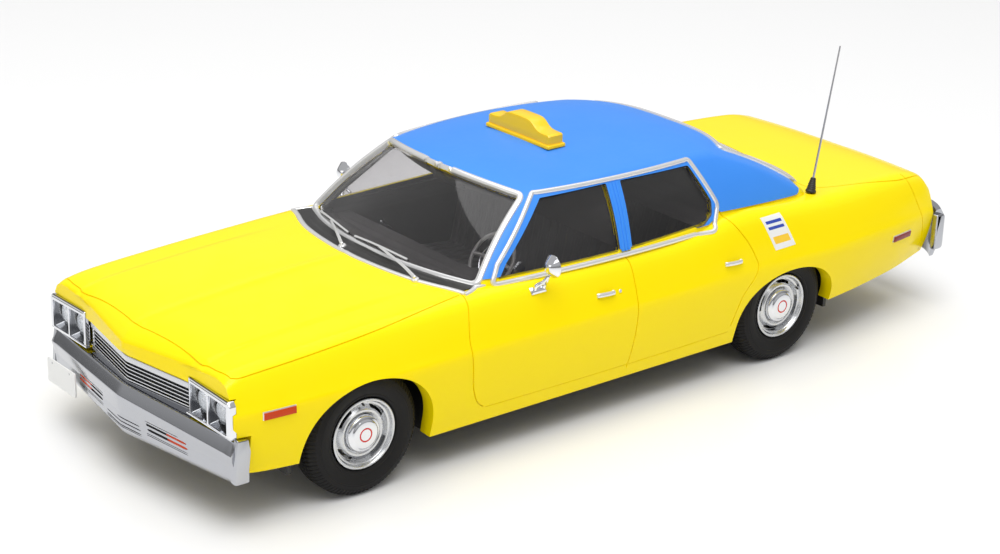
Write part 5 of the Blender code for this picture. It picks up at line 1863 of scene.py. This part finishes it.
def makeWipers():
    outward = screenNormal(frontEdge)

    def onScreen(side, level, out):
        q = frontEdge(abs(side), level) + outward * out
        return Vector((q.x, math.copysign(q.y, side), q.z))

    def taper(t):
        return 1.0 - 0.35 * t

    for tag, spec in wipers.items():
        x, y = spec["pivot"]
        base, _ = onTop(x, y)
        hub = [
            (0, -0.2), (1.25, -0.2), (1.25, 0.7), (1.05, 0.95), (0.55, 1.05), (0.5, 1.7), (0.3, 1.85),
            (0, 1.85),
        ]
        parts = [turnedMesh("wiperHub", hub, base, (-0.25, 0, 1), "trimWhite", 28)]
        start = base + Vector((-0.3, 0, 1.25))
        joint = onScreen(*spec["joint"], 2.0)
        lift = start.lerp(joint, 0.35) + Vector((-0.2, 0, 0.7))
        arm = catmull([start, lift, joint], 8)
        flat = rounded(rectangle(-0.55, -0.16, 0.55, 0.16), 0.1, 2)
        up = [outward] * len(arm)
        parts.append(sweep("wiperArm", arm, up, flat, "trimWhite", grow=taper))
        a, b = spec["blade"]
        spine = []
        for t in spread(0, 1, 22):
            bow = math.sin(math.pi * t)
            spine.append(onScreen(lerp(a, b, t), 0.045 + 0.012 * bow, 1.25 + 0.25 * bow))
        up = [outward] * len(spine)
        blade = [(-0.34, -0.1), (0.34, -0.1), (0.3, 0.32), (-0.3, 0.32)]
        parts.append(sweep("wiperBlade", spine, up, blade, "trimWhite"))
        rubber = [(-0.13, -0.85), (0.13, -0.85), (0.16, 0.05), (-0.16, 0.05)]
        spine = [p - outward * 0.1 for p in spine]
        parts.append(sweep("wiperRubber", spine, up, rubber, "blackPlastic"))
        piece(joinPieces("wiper" + tag.capitalize(), parts), slot="steel", replaces="wiper_" + tag)


def makeSign():
    low, high = corners("roof_sign")
    half = high.y - 0.5
    front, rear = low.x + 0.7, high.x - 0.7
    rings = []
    for z, grow in ((low.z, 0.0), (low.z + 0.75, 0.0), (low.z + 1.0, -0.18), (low.z + 1.08, -0.45)):
        flat = rectangle(low.x, -high.y, high.x, high.y)
        rings.append([(p.x, p.y, z) for p in rounded(shifted(flat, -grow), 0.8, 5)])
    foot = loft("signFoot", rings)
    floor = low.z + 0.6
    rings = []
    for x, inset in (
        (front, 0.55), (front + 0.14, 0.16), (front + 0.5, 0.0), (rear - 0.5, 0.0), (rear - 0.14, 0.16),
        (rear, 0.55),
    ):
        outline = []
        for y in spread(-half + 0.2, half - 0.2, 61):
            hump = 1 / (1 + math.exp((abs(y) - 7.6) / 1.0))
            edge = min(1.0, (half - 0.2 - abs(y)) / 0.7)
            z = floor + 3.7 + 3.08 * hump - 0.5 * (1 - edge) ** 2 - inset
            outline.append(Vector((y * (1 - inset / half), z)))
        outline += [Vector((half - 0.2 - inset, floor)), Vector((-half + 0.2 + inset, floor))]
        rings.append([(x, p.x, p.y) for p in outline])
    tower = loft("signTower", rings)
    cut(foot, [tower], "UNION")
    finishEdges(foot, "signYellow", 40)
    foot.name = "roofSignLamp"
    piece(foot, slot="sign_yellow", replaces="roof_sign")


def makeAntenna():
    base = corners("antenna_base")[0]
    low, high = corners("antenna_whip")
    foot = Vector((base.x + 1.8, (low.y + high.y) / 2, base.z))
    lean = Vector((9.2, 0, 52.2)).normalized()
    profile = [(0.62, 0.0), (1.8, 0.0), (1.8, 0.55), (1.62, 0.75)]
    for k in range(6):
        r = 1.62 - 0.11 * k
        profile += [
            (r, 0.9 + 0.62 * k), (r - 0.14, 1.05 + 0.62 * k), (r - 0.14, 1.2 + 0.62 * k),
            (r - 0.06, 1.35 + 0.62 * k),
        ]
    profile += [(0.85, 4.9), (0.62, 5.0)]
    cone = turnedMesh("antennaCone", profile, foot, lean, "blackPlastic", 36)
    piece(cone, slot="black_plastic", replaces="antenna_base")
    reach = (high.z - 0.1 - foot.z) / lean.z
    path = [foot + lean * s for s in spread(2.0, reach, 24)]
    whip = tube("antennaMast", path, spread(0.4, 0.26, 24), "steel", 12)
    piece(whip, slot="steel", replaces="antenna_whip")


def makePlates():
    for node, x0, x1 in (("front_number_plate", -154.18, -153.55), ("rear_number_plate", 148.05, 148.75)):
        low, high = corners(node)
        rings = []
        flat = rectangle(low.y, low.z, high.y, high.z)
        for x, inset in ((x0, 0.12), (x0 + 0.1, 0.02), (x1 - 0.1, 0.02), (x1, 0.12)):
            rings.append([(x, p.x, p.y) for p in rounded(shifted(flat, inset), 0.7, 4)])
        plate = loft("plateCard", rings, "whiteCard")
        parts = [plate]
        face, out = (x0, -1) if x0 < 0 else (x1, 1)
        for y in (low.y + 3.2, high.y - 3.2):
            bolt = [(0, -0.1), (0.34, -0.1), (0.34, 0.04), (0, 0.1)]
            place = (face, y, high.z - 1.1)
            parts.append(turnedMesh("plateBolt", bolt, place, (out, 0, 0), "steel", 18))
        words = node.split("_")
        piece(joinPieces(words[0] + "PlateBlank", parts), slot="white_plate", replaces=node)


def makeSticker():
    # a plain card with three bars of colour on the left rear wing
    corner = [(54.0, 54.6), (63.9, 54.3), (69.1, 42.4), (59.5, 42.3)]

    def area(name, u0, u1, v0, v1, out, material):
        rows = []
        for v in spread(v0, v1, max(3, int(abs(v1 - v0) * 20))):
            row = []
            for u in spread(u0, u1, 12):
                top = Vector(corner[0]).lerp(Vector(corner[1]), u)
                foot = Vector(corner[3]).lerp(Vector(corner[2]), u)
                x, z = top.lerp(foot, v)
                place, normal = onSide(x, z, -1, (lowerSkin,))
                row.append((place + normal * out, normal))
            rows.append(row)
        return slab(name, rows, out + 0.02, material)

    parts = [area("stickerCard", 0, 1, 0.08, 1, 0.08, "whiteCard")]
    for v0, v1, ink in ((0.2, 0.28, "blueInk"), (0.36, 0.44, "blueInk"), (0.64, 0.84, "yellowInk")):
        parts.append(area("stickerBar", 0.12, 0.88, v0, v1, 0.1, ink))
    piece(joinPieces("wingSticker", parts), slot="white_plate")
    print("sign, antenna, plates and sticker added")


makeBumpers()
makeGrille()
makeBezels()
makeTailLamps()
makeMarkers()
makeHandles()
makeDoorMirrors()
makeWipers()
makeSign()
makeAntenna()
makePlates()
makeSticker()


# cabin
def bench(name, outline, radius, half, node):
    # a pleated bench: its side view swept across the car, pinched at every seam and at both ends
    base = rounded(outline, radius, 6)
    rings = []
    for y in spread(-half, half, 241):
        edge = min(1.0, (half - abs(y)) / 1.6)
        inset = 1.3 * (1 - math.sqrt(max(1 - (1 - edge) ** 2, 0.0)))
        seam = abs(((y + 2.0) % 4.0) - 2.0)
        inset += 0.34 * math.exp(-((seam / 0.55) ** 2)) if abs(y) < half - 4.5 else 0.0
        inset += 0.45 * math.exp(-((abs(abs(y) - half + 4.2) / 0.4) ** 2))
        rings.append([(p.x, y, p.y) for p in shifted(base, inset + 0.02)])
    made = loft(name, rings, "seatVinyl", sharp=50)
    return piece(made, slot="interior_grey", replaces=node)


def makeSeats():
    front = [
        (-24, 18.1), (-26, 24), (-25, 31), (-21, 33), (-4, 31.5), (1, 56), (3, 58), (6, 57.4), (7, 54),
        (3, 30), (1, 18.1),
    ]
    bench(
        "frontBench", front, [0.6, 1.5, 2.2, 2.2, 1.2, 1.4, 1.6, 1.6, 2.0, 1.5, 0.6],
        corners("front_seat")[1].y, "front_seat",
    )
    rear = [
        (20, 18.1), (18, 24), (19, 32), (23, 34), (41, 32), (48, 54), (51, 55.6), (56, 54), (56, 50.4),
        (50, 30), (48, 18.1),
    ]
    seat = bench(
        "rearBench", rear, [0.6, 1.5, 2.2, 2.2, 1.2, 1.6, 1.8, 1.6, 1.5, 1.5, 0.6],
        corners("rear_seat")[1].y, "rear_seat",
    )
    cutters = []
    for hand in (-1, 1):
        low, high = sorted((hand * 32.3, hand * 60.0))
        flat = rectangle(41.6, 5, 90, 42.9)
        cutters.append(prism("seatNotch", rounded(flat, 0.8, 3), "Y", low, high))
    cut(seat, cutters)
    repaint(seat, "seatVinyl")
    print("seats upholstered")


def makeDash():
    flat = [
        (-56, 30), (-56, 49.4), (-52, 49.9), (-44, 49.4), (-42, 47.6), (-43.4, 41), (-47, 38), (-48, 30),
    ]
    base = rounded(flat, [0.5, 0.6, 1.5, 1.0, 0.8, 1.0, 1.0, 0.6], 4)
    rings = []
    for y in spread(-42.9, 42.9, 87):
        edge = min(1.0, (42.9 - abs(y)) / 1.0)
        rings.append([(p.x, y, p.y) for p in shifted(base, 0.5 * (1 - edge) ** 2 + 0.02)])
    dash = loft("dashboardPad", rings, None, sharp=40)
    cutters = []
    for y, r in ((-26.0, 2.3), (-20.0, 2.3), (-14.0, 2.3)):
        ring = turnedMesh(
            "dialCut", [(0, -1.2), (r, -1.2), (r, 3), (0, 3)], (-42.7, y, 44.4), (1, 0, 0.12), None, 32,
        )
        cutters.append(ring)
    for y0, y1, z0, z1 in (
        (10.0, 30.0, 41.8, 42.05), (10.0, 30.0, 46.3, 46.55), (-6.0, 4.0, 45.9, 46.2),
        (-6.0, 4.0, 45.1, 45.4), (-6.0, 4.0, 44.3, 44.6),
    ):
        cutters.append(prism("dashLine", rectangle(-46, z0, -40, z1), "Y", y0, y1))
    cut(dash, cutters)
    repaint(dash, "cabinGrey")
    piece(dash, slot="interior_grey", replaces="dashboard")
    rows = []
    for y in spread(-40.5, 40.5, 55):
        front = frontEdge(min(abs(y) / 43.8, 1.0), 0.0).x + 3.4
        row = []
        for t in spread(0, 1, 16):
            z = lerp(51.4, 50.35, smooth(t)) + 0.12 * math.sin(t * math.pi * 5)
            row.append((Vector((lerp(front, -50.0, t), y, z)), Vector((0, 0, 1))))
        rows.append(row)
    piece(slab("dashTop", rows, 0.35, "cabinGrey"), slot="interior_grey")
    dials = []
    for y in (-26.0, -20.0, -14.0):
        rim = [(1.9, -0.4), (2.2, -0.4), (2.2, 0.2), (2.05, 0.32), (1.9, 0.2)]
        dials.append(turnedMesh("dialRim", rim, (-43.1, y, 44.4), (1, 0, 0.12), "chrome", 40))
    piece(joinPieces("dashDials", dials), slot="chrome")


def makeSteering():
    place = Matrix.Translation(Vector((-34.0, -20.0, 48.6))) @ Matrix.Rotation(math.radians(-58), 4, "Y")
    r = 9.05
    circle = [Vector((math.cos(a) * r, math.sin(a) * r, 0)) for a in spread(0, math.tau, 73)[:-1]]
    parts = [tube("wheelRim", [place @ p for p in circle], 0.62, "lightWheel", 14, True)]
    ring = [Vector((math.cos(a) * 5.4, math.sin(a) * 5.4, -0.35)) for a in spread(0, math.tau, 49)[:-1]]
    parts.append(tube("hornRing", [place @ p for p in ring], 0.22, "chrome", 10, True))
    for hand in (-1, 1):
        path = []
        for t in spread(0, 1, 12):
            dip = 0.5 * math.sin(math.pi * t)
            path.append(place @ Vector((dip, hand * lerp(1.0, r - 0.3, t), lerp(-0.6, 0, t) - dip)))
        parts.append(tube("wheelSpoke", path, spread(0.9, 0.5, 12), "lightWheel", 12))
    axis = place.to_3x3() @ Vector((0, 0, 1))
    hub = [(0, -1.4), (1.5, -1.4), (1.9, -0.8), (1.9, 0.3), (1.6, 0.7), (1.1, 0.88), (0, 0.92)]
    parts.append(turnedMesh("wheelHub", hub, place @ Vector(), axis, "cabinGrey", 36))
    column = [(0, -9.4), (1.1, -9.4), (1.2, -6.0), (1.45, -3.0), (1.5, -1.2), (0, -1.2)]
    parts.append(turnedMesh("wheelColumn", column, place @ Vector(), axis, "blackPlastic", 28))
    piece(joinPieces("steeringWheelDrawn", parts), slot="black_plastic", replaces="steering_wheel")


def makeCabinMirror():
    rings = []
    for x, inset in ((-36.35, 0.7), (-36.0, 0.2), (-35.4, 0.0), (-34.75, 0.0), (-34.62, 0.15)):
        flat = [(-7.9, 68.5), (7.9, 68.5), (7.4, 72.3), (-7.4, 72.3)]
        rings.append([(x, p.x, p.y) for p in rounded(shifted(flat, inset), 1.1, 5)])
    shell = loft("mirrorShell", rings, "blackPlastic")
    flat = [(-7.5, 68.9), (7.5, 68.9), (7.0, 71.9), (-7.0, 71.9)]
    rings = [[(x, p.x, p.y) for p in rounded(flat, 0.9, 5)] for x in (-34.68, -34.52)]
    face = loft("mirrorPlate", rings, "lampMirror")
    stem = tube(
        "mirrorStem", catmull([(-35.9, 0, 71.6), (-36.2, 0, 73.2), (-36.8, 0, 74.6)], 6), 0.55,
        "blackPlastic", 12,
    )
    piece(joinPieces("cabinMirror", [shell, face, stem]), slot="black_plastic", replaces="rear_view_mirror")


def makeDoorTops():
    # padded cappings under the side glass, which also cover the tub's rim
    for hand, tag in hands:
        rings = []
        for x in spread(-49.5, 57.5, 74):
            top = abs(onSide(x, 52.6, hand, (lowerSkin,))[0].y) - wall - 0.35
            soft = 0.1 * abs(math.sin(x * math.pi / 6))
            flat = [
                (43.3, 47.0), (43.2, 49.9 - soft), (44.4, 51.4 - soft), (45.9, 52.4 - soft),
                (top - 0.3, 52.7), (top, 52.5), (top, 50.2),
                (45.9, 49.4), (43.62, 49.3), (43.62, 47.0),
            ]
            rings.append([(x, hand * y, z) for y, z in flat])
        piece(loft("doorTop" + tag, rings, "seatVinyl", sharp=50), slot="interior_grey")
        crank = []
        for x, z in ((-30.0, 42.0), (12.0, 42.0)):
            start = Vector((x, hand * 43.6, z))
            boss = [(0, 0), (1.0, 0), (1.0, 0.5), (0.7, 0.8), (0, 0.8)]
            crank.append(turnedMesh("crankBoss", boss, start, (0, -hand, 0), "chrome", 24))
            bends = ((0, 0.6, 0), (2, 1.0, -1.4), (3.8, 0.9, -2.8))
            arm = [start + Vector((a, -hand * b, c)) for a, b, c in bends]
            crank.append(tube("crankArm", catmull(arm, 5), 0.35, "chrome", 10))
        piece(joinPieces("windowCranks" + tag, crank), slot="chrome")
    print("cabin trimmed")


makeSeats()
makeDash()
makeSteering()
makeCabinMirror()
makeDoorTops()


# underside, and a finish for every CAD part that stays in view
kept = {
    "interior_tub": "cabinGrey", "base_plate": "blackPlastic", "front_axle": "steel", "rear_axle": "steel",
    "fuel_tank": "blackPlastic",
    "exhaust_pipe": "steel",
}


def makeUnderside():
    for node, finish in kept.items():
        repaint(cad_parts[node], finish)
    floor = corners("base_plate")[0].z + 1.2  # the plate's flat, above its screw bosses
    head = [
        (0, -0.45), (0.75, -0.5), (0.8, -1.0), (1.4, -0.97), (2.05, -0.75), (2.3, -0.35), (2.3, 0.3),
        (0, 0.3),
    ]
    screws = []
    for x in (-68.0, 0.0, 88.0):
        place = (x, 0, floor)
        screws.append(turnedMesh("plateScrew", head, place, (0, 0, 1), "steel", 36, (1, 0, 0)))
    piece(joinPieces("plateScrews", screws), slot="steel")
    ribs = []
    for y in (-26.0, -9.0, 9.0, 26.0):
        for x0, x1 in ((-92.0, -75.0), (-61.0, -7.0), (7.0, 50.0)):
            outline = rounded(rectangle(x0, y - 0.7, x1, y + 0.7), 0.6, 4)
            levels = ((floor + 0.3, 0.0), (floor - 0.5, 0.0), (floor - 0.7, 0.25))
            rings = [[(p.x, p.y, z) for p in shifted(outline, inset)] for z, inset in levels]
            ribs.append(loft("floorRib", rings, "blackPlastic"))
    piece(joinPieces("floorRibs", ribs), slot="black_plastic")
    low, high = corners("fuel_tank")
    straps = []
    for y in (-14.0, 12.0):
        near, far, foot = low.x - 0.5, high.x + 0.5, low.z - 0.35
        outline = [(near, high.z), (near, foot), (far, foot), (far, high.z)]
        path = resample([Vector((x, y, z)) for x, z in outline], 1.2)
        middle = Vector(((low.x + high.x) / 2, y, high.z))
        normals = [(p - middle).normalized() for p in path]
        straps.append(sweep("tankStrap", path, normals, rectangle(-0.9, -0.12, 0.9, 0.18), "steel"))
    piece(joinPieces("tankStraps", straps), slot="steel")
    silencer = []
    for k in range(25):
        t = k / 24
        r = 3.1 * min(1.0, (min(t, 1 - t) / 0.08 + 0.35)) ** 0.4
        x = lerp(-46, -14, t)
        turns = spread(0, math.tau, 33)[:-1]
        silencer.append([(x, 16 + math.cos(a) * r, 10.3 + math.sin(a) * r * 0.42) for a in turns])
    piece(loft("silencer", silencer, "steel"), slot="steel")
    print("underside finished")


makeUnderside()
for helper in (lowerObject, houseObject):
    bpy.data.objects.remove(helper, do_unlink=True)
print("helpers removed")
